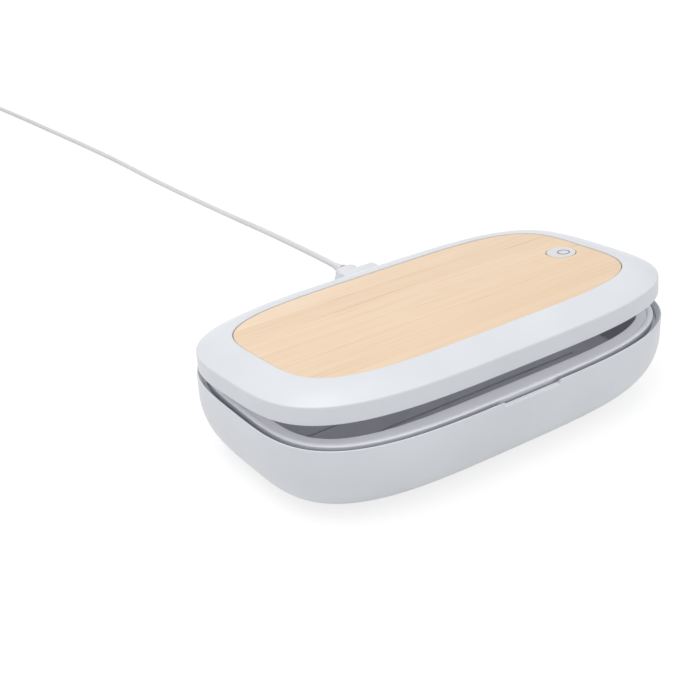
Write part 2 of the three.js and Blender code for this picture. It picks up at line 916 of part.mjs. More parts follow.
const makeSwitch = () => {
  const body = block(
    buttonX - switchSize / 2,
    buttonX + switchSize / 2,
    -switchSize / 2,
    switchSize / 2,
    switchBottom,
    switchTop,
  );
  const well = post(plungerRadius + seatGap, buttonX, 0, switchTop - switchWell, switchTop + cutOverrun);
  return shaped(body, [], [well]);
};
place(lidInside, 'tact_switch', makeSwitch(), blackPart);

const sensorY = -(lidWidth / 2 - sealInset - sealWidth - sensorWidth);
place(
  lidInside,
  'lid_sensor',
  block(
    -sensorLength / 2,
    sensorLength / 2,
    sensorY - sensorWidth / 2,
    sensorY + sensorWidth / 2,
    coverTop + seatGap,
    coverTop + seatGap + sensorHeight,
  ),
  blackPart,
);

// Button cap and the switch's plunger
const makeCap = () => {
  const capBottom = capTop - capThickness;
  const profile = [
    new THREE.Vector2(0, stemBottom),
    new THREE.Vector2(stemRadius, stemBottom),
    new THREE.Vector2(stemRadius, capBottom),
    new THREE.Vector2(buttonRadius, capBottom),
    new THREE.Vector2(buttonRadius, capTop - capEdgeRound),
    new THREE.Vector2(buttonRadius - capEdgeRound, capTop),
    new THREE.Vector2(0, capTop),
  ];
  return new THREE.LatheGeometry(profile, housingSides).rotateX(Math.PI / 2).translate(buttonX, 0, 0);
};
place(lidInside, 'button_cap', makeCap(), buttonWhite);
place(
  lidInside,
  'switch_plunger',
  post(plungerRadius, buttonX, 0, plungerBottom, plungerBottom + plungerHeight),
  blackPart,
);

// Cable plug in the port
const gripStart = padY + gripGap;
const gripEnd = gripStart + gripLength;
place(
  cord,
  'plug_shell',
  slabAlongY(
    plugWidth,
    plugHeight,
    plugHeight / 2 - portWall / 2,
    portOffset,
    padY - plugLength,
    gripStart - seatGap,
    portZ,
  ),
  steel,
);

const makeGrip = () => {
  const stations = [
    [gripStart, gripTaper / 2],
    [gripStart + gripTaper / 2, 0],
    [gripEnd - 2 * gripTaper, 0],
    [gripEnd, gripTaper],
  ];
  const rings = stations.map(([y, inset]) =>
    roundedSlab(gripWidth - 2 * inset, gripHeight - 2 * inset, gripRound - inset)
      .getSpacedPoints(gripPoints)
      .slice(0, gripPoints)
      .map((p) => [portOffset + p.x, y, portZ + p.y]),
  );
  return stacked(rings);
};
place(cord, 'plug_grip', makeGrip(), cordWhite);

const reliefStart = gripEnd + seatGap;
const makeRelief = () => {
  const profile = [
    new THREE.Vector2(0, 0),
    new THREE.Vector2(reliefFrontRadius, 0),
    new THREE.Vector2((reliefFrontRadius + reliefEndRadius) / 2, reliefLength / 2),
    new THREE.Vector2(reliefEndRadius, reliefLength),
    new THREE.Vector2(0, reliefLength),
  ];
  return new THREE.LatheGeometry(profile, barrelSides).translate(portOffset, reliefStart, portZ);
};
place(cord, 'strain_relief', makeRelief(), cordWhite);

// Cable run: hand-chosen points from the strain relief down to the floor and on to the coil
const coilSpread = (coilTurnsPerLayer * coilPitch) / 2;
const coilOuter = coilRadius + coilSpread;
const layerZ = (layer) => coilLift + cordRise + layer * coilPitch;
const runPoints = [
  [5.2, 83.25, 38],
  [5.2, 92.6, 37.9],
  [5.8, 111.6, 36.6],
  [8.7, 152.5, 32.2],
  [15.1, 208, 23.6],
  [22.1, 254, 15.5],
  [27.3, 300.5, 8.8],
  [29.9, 344.5, 4.6],
  [30.6, 382.8, 2.7],
  [29.4, 419.5, 1.9],
  [26.4, 458.1, 1.6],
  [22.4, 497, 1.6],
  [18.3, 536.8, 1.7],
  [13.7, 571, 2.1],
  [11.3, 587, 2.5],
  [10.7, 595.7, 2.6],
];

const tube = (curve, radius, count, steps) => {
  const shape = new THREE.Shape(
    Array.from({ length: count }, (_, i) => {
      const turn = (2 * Math.PI * i) / count;
      return new THREE.Vector2(radius * Math.cos(turn), radius * Math.sin(turn));
    }),
  );
  return new THREE.ExtrudeGeometry(shape, { steps, bevelEnabled: false, extrudePath: curve });
};

const smooth = (points) =>
  new THREE.CatmullRomCurve3(points.map((p) => new THREE.Vector3(...p)), false, 'centripetal');
place(cord, 'cable_run', tube(smooth(runPoints), cordRadius, cordSides, runSteps), cordWhite);

// Cable coil: four piled layers, spiralling in and out, and climbing where the spiral turns back
const coilPoint = (turns) => {
  const period = 2 * coilTurnsPerLayer;
  const phase = turns % period;
  const inward = phase < coilTurnsPerLayer ? phase : period - phase;
  const layerFloat = turns / coilTurnsPerLayer;
  const nearest = Math.round(layerFloat);
  const away = (layerFloat - nearest) * coilTurnsPerLayer;
  const inClimb = nearest > 0 && nearest < coilLayers && Math.abs(away) < coilClimbTurns;
  const climbed = nearest - (1 - away / coilClimbTurns) / 2;
  const level = inClimb ? climbed : Math.min(Math.floor(layerFloat), coilLayers - 1);
  const radius = coilOuter - inward * coilPitch;
  const turn = 2 * Math.PI * turns;
  return new THREE.Vector3(
    coilCentre[0] + radius * Math.cos(turn),
    coilCentre[1] + radius * Math.sin(turn),
    layerZ(level),
  );
};
const coilTurns = coilTurnsPerLayer * coilLayers;
const coilSteps = Math.round(coilTurns * coilStepsPerTurn);
const coilPoints = Array.from(
  { length: coilSteps + 1 },
  (_, i) => coilPoint((coilTurns * i) / coilSteps),
);

const sweptTube = (points, radius, count) => {
  const rings = points.map((point, i) => {
    const before = points[Math.max(i - 1, 0)];
    const after = points[Math.min(i + 1, points.length - 1)];
    const ahead = after.clone().sub(before).normalize();
    const sideways = new THREE.Vector3(-ahead.y, ahead.x, 0).normalize();
    const upward = ahead.clone().cross(sideways).normalize();
    return Array.from({ length: count }, (_, k) => {
      const turn = (2 * Math.PI * (k + 0.5)) / count;
      const offset = sideways.clone().multiplyScalar(radius * Math.cos(turn));
      offset.addScaledVector(upward, radius * Math.sin(turn));
      return point.clone().add(offset).toArray();
    });
  });
  return stacked(rings);
};
place(cord, 'cable_coil', sweptTube(coilPoints, cordRadius, coilSides), cordWhite);

const leastGap = (points, radius) => {
  let least = Infinity;
  const skip = coilStepsPerTurn / 2;
  for (let i = 0; i < points.length; i += 1) {
    for (let j = i + skip; j < points.length; j += 1) {
      least = Math.min(least, points[i].distanceTo(points[j]));
    }
  }
  return least - 2 * radius;
};
console.log(`least gap of the coil to itself: ${leastGap(coilPoints, cordRadius).toFixed(2)} mm`);

// Cable tail: from the top of the coil down beside it to the end plug
const coilEnd = coilPoints[coilPoints.length - 1];
const tailEndX = coilEnd.x - tailLength;
const endZ = endGripHeight / 2;
const tailPoints = [
  [coilEnd.x - seatGap, coilEnd.y, coilEnd.z],
  ...tailRunShares.map((share, i) => [
    coilEnd.x - tailLength * share,
    coilEnd.y,
    coilEnd.z - (coilEnd.z - endZ) * tailDropShares[i],
  ]),
  [tailEndX, coilEnd.y, endZ],
];
place(cord, 'cable_tail', tube(smooth(tailPoints), cordRadius, cordSides, tailSteps), cordWhite);

// End plug on the floor
const makeEndGrip = () => {
  const x0 = tailEndX - seatGap;
  const stations = [
    [0, gripTaper],
    [gripTaper * 2, gripTaper / 2],
    [endGripLength * endGripBellyShare, 0],
    [endGripLength - gripTaper / 2, 0],
    [endGripLength, gripTaper / 2],
  ];
  const rings = stations.map(([along, inset]) =>
    roundedSlab(endGripWidth - 2 * inset, endGripHeight - 2 * inset, endGripRound - inset / 2)
      .getSpacedPoints(gripPoints)
      .slice(0, gripPoints)
      .map((p) => [x0 - along, coilEnd.y + p.x, endZ + p.y]),
  );
  return stacked(rings);
};
place(cord, 'end_plug_grip', makeEndGrip(), cordWhite);

const makeEndShell = () => {
  const x1 = tailEndX - 2 * seatGap - endGripLength;
  const outer = block(
    x1 - endShellLength,
    x1,
    coilEnd.y - endShellWidth / 2,
    coilEnd.y + endShellWidth / 2,
    endZ - endShellHeight / 2,
    endZ + endShellHeight / 2,
  );
  const inner = block(
    x1 - endShellLength - cutOverrun,
    x1 - endShellWall,
    coilEnd.y - endShellWidth / 2 + endShellWall,
    coilEnd.y + endShellWidth / 2 - endShellWall,
    endZ,
    endZ + endShellHeight / 2 - endShellWall,
  );
  return shaped(outer, [], [inner]);
};
place(cord, 'end_plug_shell', makeEndShell(), steel);

// Tie round the coil's bundle, on the side away from both ends
const makeTie = () => {
  const halfWide = coilSpread + cordRadius + seatGap;
  const low = layerZ(0) - cordRadius - seatGap;
  const high = layerZ(coilLayers - 1) + cordRadius + seatGap;
  const outer = block(
    coilRadius - halfWide - tieThickness,
    coilRadius + halfWide + tieThickness,
    -tieWidth / 2,
    tieWidth / 2,
    low - tieThickness,
    high + tieThickness,
  );
  const inner = block(coilRadius - halfWide, coilRadius + halfWide, -tieWidth, tieWidth, low, high);
  return shaped(outer, [], [inner])
    .rotateZ((-3 * Math.PI) / 4)
    .translate(coilCentre[0], coilCentre[1], 0);
};
place(cord, 'cable_tie', makeTie(), rubber);

const lengthOf = (points) => points.slice(1).reduce((sum, p, i) => sum + p.distanceTo(points[i]), 0);
const runLength = smooth(runPoints).getLength();
const tailRun = smooth(tailPoints).getLength();
console.log(`cable length: ${(runLength + lengthOf(coilPoints) + tailRun).toFixed(0)} mm`);

export default assembly;
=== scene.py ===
"""Looks of a UV-C sanitizer box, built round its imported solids. Metres, in the row frame."""

import json
import math

import bmesh
import bpy
from mathutils import Matrix, Quaternion, Vector


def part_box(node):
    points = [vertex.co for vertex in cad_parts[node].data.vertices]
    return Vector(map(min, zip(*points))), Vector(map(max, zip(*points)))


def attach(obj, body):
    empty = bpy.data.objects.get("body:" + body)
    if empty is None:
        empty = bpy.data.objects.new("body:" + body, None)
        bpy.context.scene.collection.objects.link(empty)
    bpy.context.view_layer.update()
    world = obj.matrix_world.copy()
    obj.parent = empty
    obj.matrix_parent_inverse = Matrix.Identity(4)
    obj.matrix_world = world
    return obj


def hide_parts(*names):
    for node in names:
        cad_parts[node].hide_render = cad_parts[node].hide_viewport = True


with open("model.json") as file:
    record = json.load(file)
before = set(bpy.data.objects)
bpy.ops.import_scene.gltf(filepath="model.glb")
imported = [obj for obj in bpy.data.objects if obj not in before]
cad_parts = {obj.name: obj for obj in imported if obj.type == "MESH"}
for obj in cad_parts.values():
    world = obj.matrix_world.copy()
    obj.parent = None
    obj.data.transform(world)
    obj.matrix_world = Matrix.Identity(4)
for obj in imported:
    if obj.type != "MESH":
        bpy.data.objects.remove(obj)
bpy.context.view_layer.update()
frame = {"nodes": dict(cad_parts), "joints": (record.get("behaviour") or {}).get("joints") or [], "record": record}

scene = bpy.context.scene
nodes = frame["nodes"]

# Sizes, as in the solids
BODY_LENGTH = 0.215
BASE_WIDTH = 0.130
LID_WIDTH = 0.1248
BASE_POWER = 3.62
LID_POWER = 3.54
PANEL_POWER = 4.1
MOUTH_POWER = 4.1
SEAT_GAP = 0.0003
OVERRUN = 0.002

FOOT_HEIGHT = 0.001
SHELL_HEIGHT = 0.0345
SHELL_WALL = 0.002
SHELL_FLOOR = 0.0024
ROLL_IN = 0.0164
ROLL_UP = 0.024
SHELL_EDGE = 0.00035
RIM_EDGE = 0.0005
RIM_FALL = 0.0019
NOTCH_LENGTH = 0.0312
NOTCH_DEPTH = 0.0024
NOTCH_OFFSET = 0.0008

GROOVE = 0.0013
SKIRT = 0.002
SKIRT_HEIGHT = 0.0039
BEAD_WIDTH = 0.0024
BEAD_ROUND = 0.0007
BEAD_RISE = 0.0007
LEDGE_THICKNESS = 0.002
LEDGE_FALL = 0.0002
MOUTH_END = 0.0106
MOUTH_SIDE = 0.0126
MOUTH_ROUND = 0.0008

TRAY_WALL = 0.0016
TRAY_OVERHANG = 0.0004
TRAY_DRAFT = 0.004
TRAY_FLOOR_RISE = 0.0084
TRAY_CORNER = 0.004
TRAY_RIBS = 5
RIB_PITCH = 0.0161
RIB_LENGTH = 0.143
RIB_WIDTH = 0.0014
RIB_HEIGHT = 0.0008

HINGE_BACK = 0.0016
HINGE_DROP = 0.0002
KNUCKLE_RADIUS = 0.0026
KNUCKLE_LENGTH = 0.010
EAR_LENGTH = 0.006
END_PLAY = 0.0004
ARM_INSET = 0.0012
HOUSING_RADIUS = 0.009
HOUSING_WIDTH = 0.0206
HOUSING_FLAT = 0.0075
HOUSING_RELIEF = 0.0007
PORT_OFFSET = 0.0052
PORT_RISE = 0.0027

LID_GAP = 0.0004
BAND_HEIGHT = 0.0084
BAND_EDGE = 0.0006
RIM_RISE = 0.0048
CREASE_ROUND = 0.0006
LID_WALL = 0.0022
DECK_THICKNESS = 0.0018
PANEL_THICKNESS = 0.0022
PANEL_SINK = 0.0004
PANEL_END = 0.0165
PANEL_SIDE = 0.0162
PANEL_EDGE = 0.00025
CAVITY_CHAMFER = 0.0024
COVER_RAISE = 0.0018
COVER_THICKNESS = 0.0016
BUTTON_OFFSET = 0.0781
BUTTON_RADIUS = 0.007
BUTTON_WELL = 0.006
CAP_THICKNESS = 0.0018
CAP_STEM = 0.0022
SCREW_HEAD_SHARE = 0.33
SEAL_WIDTH = 0.002
WINDOW_COUNT = 3
WINDOW_OPENING = 0.0045
WINDOW_POCKET = 0.0058

# Cable: the run's points are as in the solids, and the tail's are shares of its length and drop
CORD_RADIUS = 0.0015
CORD_RISE = 0.0016
COIL_CENTRE = (-0.009, 0.596)
COIL_RADIUS = 0.0165
COIL_PITCH = 0.0035
COIL_LIFT = 0.001
COIL_LAYERS = 4
TURNS_PER_LAYER = 1.8125
CLIMB_TURNS = 0.25
TAIL_LENGTH = 0.044
TAIL_SHARES = ((0.12, 0), (0.35, 0.2), (0.65, 0.8), (0.88, 1), (1, 1))
END_GRIP_HEIGHT = 0.0076
END_SHELL_WALL = 0.0004
RUN_POINTS = [
    (0.0052, 0.08325, 0.038),
    (0.0052, 0.0926, 0.0379),
    (0.0058, 0.1116, 0.0366),
    (0.0087, 0.1525, 0.0322),
    (0.0151, 0.208, 0.0236),
    (0.0221, 0.254, 0.0155),
    (0.0273, 0.3005, 0.0088),
    (0.0299, 0.3445, 0.0046),
    (0.0306, 0.3828, 0.0027),
    (0.0294, 0.4195, 0.0019),
    (0.0264, 0.4581, 0.0016),
    (0.0224, 0.497, 0.0016),
    (0.0183, 0.5368, 0.0017),
    (0.0137, 0.571, 0.0021),
    (0.0113, 0.587, 0.0025),
]

# Roundings and details that the solids leave out
HINGE_EDGE = 0.0003
ARM_SHY = 0.0002
RIB_EDGE = 0.0005
HOUSING_EDGE = 0.0012
PORT_EDGE = 0.0012
RECESS_EDGE = 0.0003
RIM_TOP_SHARE = 0.98
CREASE_CORNER_SHARE = 0.4
CREASE_DROP_SHARE = 1.6
COVER_EDGE = 0.0003
SEAL_EDGE = 0.0006
STRIP_WIDTH = 0.0155
SEAM_WANDER = 0.35
GRAIN_SHIFT = 3.7
CAP_EDGE = 0.0005
CAP_DISH = 0.00015
DISH_SHARES = ((0.8, 0.5), (0.5, 1), (0, 1.2))
MARK_RADIUS = 0.0028
MARK_HALF_WIDTH = 0.00035
MARK_RISE = 0.000085
MARK_SHIFT = (0.0008, -0.0009)
EDGE_BEND_SHARE = 0.3
SLAB_POWER = 2
SLAB_SQUARENESS = 1.6
GRIP_EDGE = 0.0006
GRIP_ROUND = 0.0031
GRIP_TAPER = ((0.5, 0), (0.7, 0.00015), (0.86, 0.0005), (1, 0.0011))
RELIEF_END = 0.0019
RELIEF_EDGE = 0.0002
END_GRIP_ROUND = 0.0024
END_GRIP_NOSE = [(0, 0.0024), (0.0006, 0.0016), (0.002, 0.0008), (0.0045, 0.0002)]
END_GRIP_BELLY_SHARE = 0.4
END_SHELL_EDGE = 0.0003
END_WINDOW_PLACES = (0.0035, 0.0075)
END_WINDOW_SIDE = 0.0035
END_WINDOW_LENGTH = 0.0018
END_WINDOW_HALF_WIDTH = 0.001
END_WINDOW_DEPTH = 0.001

# Counts of points and steps on curved surfaces, and angles up to which they look smooth
OUTLINE_POINTS = 240
HOUSING_SIDES = 128
FINE_SIDES = 96
ROUND_SIDES = 64
WINDOW_SIDES = 48
BEVEL_SEGMENTS = 3
PORT_SEGMENTS = 4
ARC_STEPS = 5
EDGE_STEPS = 4
FINE_EDGE_STEPS = 3
ROLL_STEPS = 18
INNER_ROLL_STEPS = 8
TRAY_STEPS = 8
RIM_STEPS = 28
RELIEF_STEPS = 12
CORD_STEPS = 6
COIL_STEPS_PER_TURN = 24
ON_AXIS = 1e-7
SMOOTH_ANGLE = 32
RELIEF_SMOOTH_ANGLE = 50

# Camera fitted to the photograph: angles in degrees, lens from the picture's 700 pixels
CAMERA_AZIMUTH = -33.84
CAMERA_ELEVATION = 28.19
CAMERA_ROLL = -2.44
CAMERA_DISTANCE = 0.60294
CAMERA_TARGET = (-0.02213, 0.0328, 0.020)
CAMERA_FOCUS_PIXELS = 1268.9
PICTURE_PIXELS = 700
SENSOR_MM = 36
CLIP_START_SHARE = 0.01
CLIP_END_SHARE = 20

# Floor, world and lamps; each lamp has its place, aim, size and watts
FLOOR_SIZE = 6
FLOOR_ROUGHNESS = 0.16
FLOOR_SPECULAR = 0.6
FLOOR_NOISE = 3
FLOOR_DARK = (0.84, 0.84, 0.85)
FLOOR_LIGHT = (0.86, 0.86, 0.87)
FLOOR_SEEN = (0.25, 0.25, 0.25)
FLOOR_LIFT = 0.76
WORLD_STRENGTH = 0.66
LAMPS = {
    "key": ((-0.35, 0.1, 1.5), (0, 0, 0.02), 1.2, 12.0),
    "fill": ((1.0, -1.1, 0.7), (0, 0, 0.02), 1.4, 0.8),
    "front": ((-0.1, -1.4, 0.3), (0, 0, 0.02), 1.0, 1.1),
    "inside": ((-0.08, -0.1, 1.2), (0, 0, 0.03), 0.7, 6.6),
    "edge": ((-0.08, -0.1, 1.2), (0, 0, 0.03), 0.7, 2.2),
}

# Colours: where the darker and the lighter tone of a noise lie, and plain white
DARK_STOP = 0.3
LIGHT_STOP = 0.7
WHITE = (1.0, 1.0, 1.0)

# Places worked out from the sizes
BASE_Y = -(HINGE_BACK + HOUSING_FLAT) / 2
SHELL_BOTTOM = FOOT_HEIGHT
SHELL_TOP = SHELL_BOTTOM + SHELL_HEIGHT
CAVITY_FLOOR = SHELL_BOTTOM + SHELL_FLOOR
HINGE_Z = SHELL_TOP - HINGE_DROP
HINGE_Y = BASE_Y + BASE_WIDTH / 2 + HINGE_BACK
SKIRT_BOTTOM = SHELL_TOP - SKIRT_HEIGHT
LEDGE_TOP = SHELL_TOP - BEAD_RISE
LEDGE_BOTTOM = LEDGE_TOP - LEDGE_FALL - LEDGE_THICKNESS
SKIRT_INSET = SHELL_WALL + GROOVE
SKIRT_INNER = SKIRT_INSET + SKIRT
TRAY_TOP = LEDGE_BOTTOM - SEAT_GAP
FLANGE_BOTTOM = TRAY_TOP - TRAY_WALL
TRAY_FLOOR = SHELL_BOTTOM + TRAY_FLOOR_RISE
LID_BOTTOM = SHELL_TOP + LID_GAP
CREASE_Z = LID_BOTTOM + BAND_HEIGHT
PANEL_TOP = CREASE_Z + RIM_RISE
PANEL_FACE = PANEL_TOP - PANEL_SINK
DECK_TOP = PANEL_FACE - PANEL_THICKNESS - SEAT_GAP
DECK_BOTTOM = DECK_TOP - DECK_THICKNESS
COVER_BOTTOM = LID_BOTTOM + COVER_RAISE
COVER_TOP = COVER_BOTTOM + COVER_THICKNESS
PORT_Z = HINGE_Z + PORT_RISE
PAD_Y = HINGE_Y + HOUSING_FLAT
hinge = next(j for j in frame["joints"] if j["name"] == "lid_hinge")
AJAR = math.radians(-hinge["range_deg"][0])
LID_TURN = (
    Matrix.Translation((0, HINGE_Y, HINGE_Z))
    @ Matrix.Rotation(-AJAR, 4, "X")
    @ Matrix.Translation((0, -HINGE_Y, -HINGE_Z))
)


# Camera
def make_camera():
    azimuth = math.radians(CAMERA_AZIMUTH)
    elevation = math.radians(CAMERA_ELEVATION)
    back = Vector((
        math.sin(azimuth) * math.cos(elevation),
        -math.cos(azimuth) * math.cos(elevation),
        math.sin(elevation),
    ))
    data = bpy.data.cameras.new("camera")
    data.sensor_width = SENSOR_MM
    data.lens = CAMERA_FOCUS_PIXELS / PICTURE_PIXELS * SENSOR_MM
    data.clip_start = CAMERA_DISTANCE * CLIP_START_SHARE
    data.clip_end = CAMERA_DISTANCE * CLIP_END_SHARE
    camera = bpy.data.objects.new("camera", data)
    camera.location = Vector(CAMERA_TARGET) + back * CAMERA_DISTANCE
    camera.rotation_mode = "QUATERNION"
    level = (-back).to_track_quat("-Z", "Y")
    camera.rotation_quaternion = level @ Quaternion((0, 0, 1), math.radians(CAMERA_ROLL))
    scene.collection.objects.link(camera)
    scene.camera = camera


make_camera()


# Material helpers
class Shader:
    """A Principled material with short calls for the nodes that feed it."""

    def __init__(self, name, roughness, metallic=0.0):
        self.material = bpy.data.materials.new(name)
        self.material.use_nodes = True
        self.tree = self.material.node_tree
        self.main = self.tree.nodes["Principled BSDF"]
        self.main.inputs["Roughness"].default_value = roughness
        self.main.inputs["Metallic"].default_value = metallic
        self.coords = self.node("ShaderNodeTexCoord").outputs["Object"]

    def node(self, kind, **values):
        made = self.tree.nodes.new(kind)
        for key, value in values.items():
            setattr(made, key, value)
        return made

    def link(self, source, target):
        self.tree.links.new(source, target)

    def scaled(self, scale, rotation=(0, 0, 0)):
        mapping = self.node("ShaderNodeMapping")
        mapping.inputs["Scale"].default_value = scale
        mapping.inputs["Rotation"].default_value = rotation
        self.link(self.coords, mapping.inputs["Vector"])
        return mapping.outputs["Vector"]

    def noise(self, scale, detail=2.0, vector=None, distortion=0.0):
        made = self.node("ShaderNodeTexNoise")
        made.inputs["Scale"].default_value = scale
        made.inputs["Detail"].default_value = detail
        made.inputs["Distortion"].default_value = distortion
        self.link(vector or self.coords, made.inputs["Vector"])
        return made.outputs["Fac"]

    def ramp(self, value, stops):
        made = self.node("ShaderNodeValToRGB")
        elements = made.color_ramp.elements
        while len(elements) < len(stops):
            elements.new(0.5)
        for element, (position, colour) in zip(elements, stops):
            element.position = position
            element.color = (*colour, 1.0)
        self.link(value, made.inputs["Fac"])
        return made.outputs["Color"]

    def tones(self, value, dark, light):
        """A noise as a colour that drifts between two tones."""
        return self.ramp(value, [(DARK_STOP, dark), (LIGHT_STOP, light)])

    def mix(self, factor, a, b, blend="MIX"):
        """Mixes two colours: sockets 0, 6 and 7 are the factor and the colours."""
        made = self.node("ShaderNodeMix", data_type="RGBA", blend_type=blend)
        for value, index in ((factor, 0), (a, 6), (b, 7)):
            socket = made.inputs[index]
            if isinstance(value, bpy.types.NodeSocket):
                self.link(value, socket)
            elif index == 0:
                socket.default_value = value
            else:
                socket.default_value = (*value, 1.0)
        return made.outputs[2]

    def math(self, operation, a, b=0.0, clamp=False):
        made = self.node("ShaderNodeMath", operation=operation, use_clamp=clamp)
        for value, index in ((a, 0), (b, 1)):
            if isinstance(value, bpy.types.NodeSocket):
                self.link(value, made.inputs[index])
            else:
                made.inputs[index].default_value = value
        return made.outputs[0]

    def spread(self, value, low, high):
        made = self.node("ShaderNodeMapRange")
        made.inputs["To Min"].default_value = low
        made.inputs["To Max"].default_value = high
        self.link(value, made.inputs["Value"])
        return made.outputs["Result"]

    def bump(self, height, distance, strength=1.0):
        made = self.node("ShaderNodeBump")
        made.inputs["Distance"].default_value = distance
        made.inputs["Strength"].default_value = strength
        self.link(height, made.inputs["Height"])
        self.link(made.outputs["Normal"], self.main.inputs["Normal"])

    def colour(self, source):
        self.link(source, self.main.inputs["Base Color"])

    def roughness(self, source):
        self.link(source, self.main.inputs["Roughness"])


def linear(r, g, b):
    """A colour given in 0..255 display values, as linear light."""
    def one(value):
        share = value / 255
        return share / 12.92 if share <= 0.04045 else ((share + 0.055) / 1.055) ** 2.4
    return tuple(one(v) for v in (r, g, b))


def plastic(name, dark, light, roughness, grain=0.00001, specular=0.5, painted_shade_reach=0.0):
    """Moulded plastic: slow colour drift, uneven sheen and a fine spark-eroded grain.

    Seams and grooves within the given reach get painted shade: ambient occlusion darkens their colour there.
    """
    shader = Shader(name, roughness)
    shader.main.inputs["Specular IOR Level"].default_value = specular
    drift = shader.noise(scale=22, detail=3)
    tint = shader.tones(drift, linear(*dark), linear(*light))
    # Painted shade: the colour darkens where ambient occlusion finds seams and grooves closed in
    if painted_shade_reach:
        opening = shader.node("ShaderNodeAmbientOcclusion", samples=8)
        opening.inputs["Distance"].default_value = painted_shade_reach
        painted_shade_tone = (0.42, 0.44, 0.49)
        painted_shade_mask = shader.ramp(opening.outputs["AO"], [(0.2, painted_shade_tone), (0.7, WHITE)])
        tint = shader.mix(1.0, tint, painted_shade_mask, "MULTIPLY")
    shader.colour(tint)
    sheen = shader.noise(scale=140, detail=4)
    shader.roughness(shader.spread(sheen, low=roughness * 0.86, high=roughness * 1.14))
    shader.bump(shader.noise(scale=3600, detail=3), distance=grain, strength=0.6)
    return shader.material


def rubber(name, colour):
    shader = Shader(name, roughness=0.78)
    dark = tuple(v * 0.9 for v in colour)
    shader.colour(shader.tones(shader.noise(scale=90, detail=4), linear(*dark), linear(*colour)))
    shader.roughness(shader.spread(shader.noise(scale=600, detail=3), low=0.68, high=0.88))
    shader.bump(shader.noise(scale=2600, detail=3), distance=0.00002, strength=0.7)
    return shader.material


def metal(name, colour, roughness, brushed=(1, 1, 60)):
    shader = Shader(name, roughness, metallic=1.0)
    lines = shader.noise(scale=260, detail=4, vector=shader.scaled(brushed))
    dark = tuple(v * 0.93 for v in colour)
    shader.colour(shader.tones(lines, linear(*dark), linear(*colour)))
    shader.roughness(shader.spread(lines, low=roughness * 0.75, high=roughness * 1.25))
    shader.bump(lines, distance=0.000004, strength=0.5)
    return shader.material


def bamboo_material():
    """Pale bamboo: wide lengthwise strips, soft long fibres and a few darker streaks."""
    shader = Shader("bamboo", roughness=0.5)
    split = shader.node("ShaderNodeSeparateXYZ")
    shader.link(shader.coords, split.inputs[0])
    across = shader.math("MULTIPLY", split.outputs["Y"], 1 / STRIP_WIDTH)
    wander = shader.noise(scale=14, detail=2)
    across = shader.math("ADD", across, shader.math("MULTIPLY", wander, SEAM_WANDER))
    strip = shader.math("FLOOR", across)
    tone = shader.node("ShaderNodeTexWhiteNoise", noise_dimensions="1D")
    shader.link(strip, tone.inputs["W"])
    # Each strip shifts the grain along its length, so that neighbours differ
    shift = shader.math("MULTIPLY", tone.outputs["Value"], GRAIN_SHIFT)
    moved = shader.node("ShaderNodeCombineXYZ")
    shader.link(shader.math("ADD", split.outputs["X"], shift), moved.inputs[0])
    shader.link(split.outputs["Y"], moved.inputs[1])
    shader.link(split.outputs["Z"], moved.inputs[2])

    def stretched(scale):
        mapping = shader.node("ShaderNodeMapping")
        mapping.inputs["Scale"].default_value = scale
        shader.link(moved.outputs[0], mapping.inputs["Vector"])
        return mapping.outputs["Vector"]

    broad = shader.noise(scale=1, detail=3, vector=stretched((9, 150, 30)), distortion=0.4)
    fibre = shader.noise(scale=1, detail=5, vector=stretched((20, 900, 60)), distortion=0.2)
    streak = shader.noise(scale=1, detail=2, vector=stretched((14, 420, 60)), distortion=0.3)
    pale, paler, dark = linear(232, 207, 179), linear(239, 217, 192), linear(228, 199, 166)
    base = shader.ramp(tone.outputs["Value"], [(0.0, pale), (1.0, paler)])
    patches = shader.math("MULTIPLY", shader.spread(broad, low=-0.6, high=1.5), 0.55, clamp=True)
    base = shader.mix(patches, base, dark)
    fibre_tone, streak_tone, seam_tone = (0.84, 0.79, 0.72), (0.74, 0.66, 0.58), (0.86, 0.80, 0.72)
    fibres = shader.ramp(fibre, [(0.34, fibre_tone), (0.6, WHITE)])
    base = shader.mix(0.28, base, fibres, "MULTIPLY")
    streaks = shader.ramp(streak, [(0.27, streak_tone), (0.38, WHITE)])
    base = shader.mix(0.5, base, streaks, "MULTIPLY")
    # Seams between strips
    edge = shader.math("FRACT", across)
    seam = shader.math("ABSOLUTE", shader.math("SUBTRACT", edge, 0.5))
    seams = shader.ramp(seam, [(0.478, WHITE), (0.497, seam_tone)])
    base = shader.mix(0.3, base, seams, "MULTIPLY")
    shader.colour(base)
    shader.roughness(shader.spread(fibre, low=0.42, high=0.6))
    shader.bump(fibre, distance=0.00002, strength=0.3)
    return shader.material


def quartz_material():
    shader = Shader("quartz", roughness=0.05)
    shader.main.inputs["Transmission Weight"].default_value = 0.85
    shader.main.inputs["IOR"].default_value = 1.46
    shader.colour(shader.tones(shader.noise(scale=60), (0.82, 0.88, 0.94), (0.9, 0.94, 0.98)))
    return shader.material


white = plastic("white_shell", (214, 217, 221), (221, 224, 229), roughness=0.36)
# The frame's groove and seams get painted shade, darkened by ambient occlusion
white_frame = plastic(
    "white_frame", (208, 209, 215), (216, 217, 223), roughness=0.5, specular=0.4, painted_shade_reach=0.003
)
tray_grey = plastic("tray_grey", (148, 149, 157), (157, 158, 166), roughness=0.42)
button_white = plastic("button_white", (214, 214, 216), (224, 224, 226), roughness=0.28)
cord_white = plastic("cord_white", (212, 212, 215), (222, 222, 225), roughness=0.45, grain=0.00002)
mark_grey = plastic("mark_grey", (132, 135, 138), (146, 149, 152), roughness=0.5)
black_plastic = plastic("black_plastic", (30, 31, 34), (42, 43, 47), roughness=0.45)
board_green = plastic("board_green", (40, 92, 58), (52, 112, 70), roughness=0.4)
grey_rubber = rubber("grey_rubber", (132, 134, 138))
nickel = metal("nickel", (196, 198, 202), roughness=0.28)
reflector = metal("reflector", (206, 208, 212), roughness=0.3, brushed=(60, 1, 1))
bamboo = bamboo_material()
quartz = quartz_material()


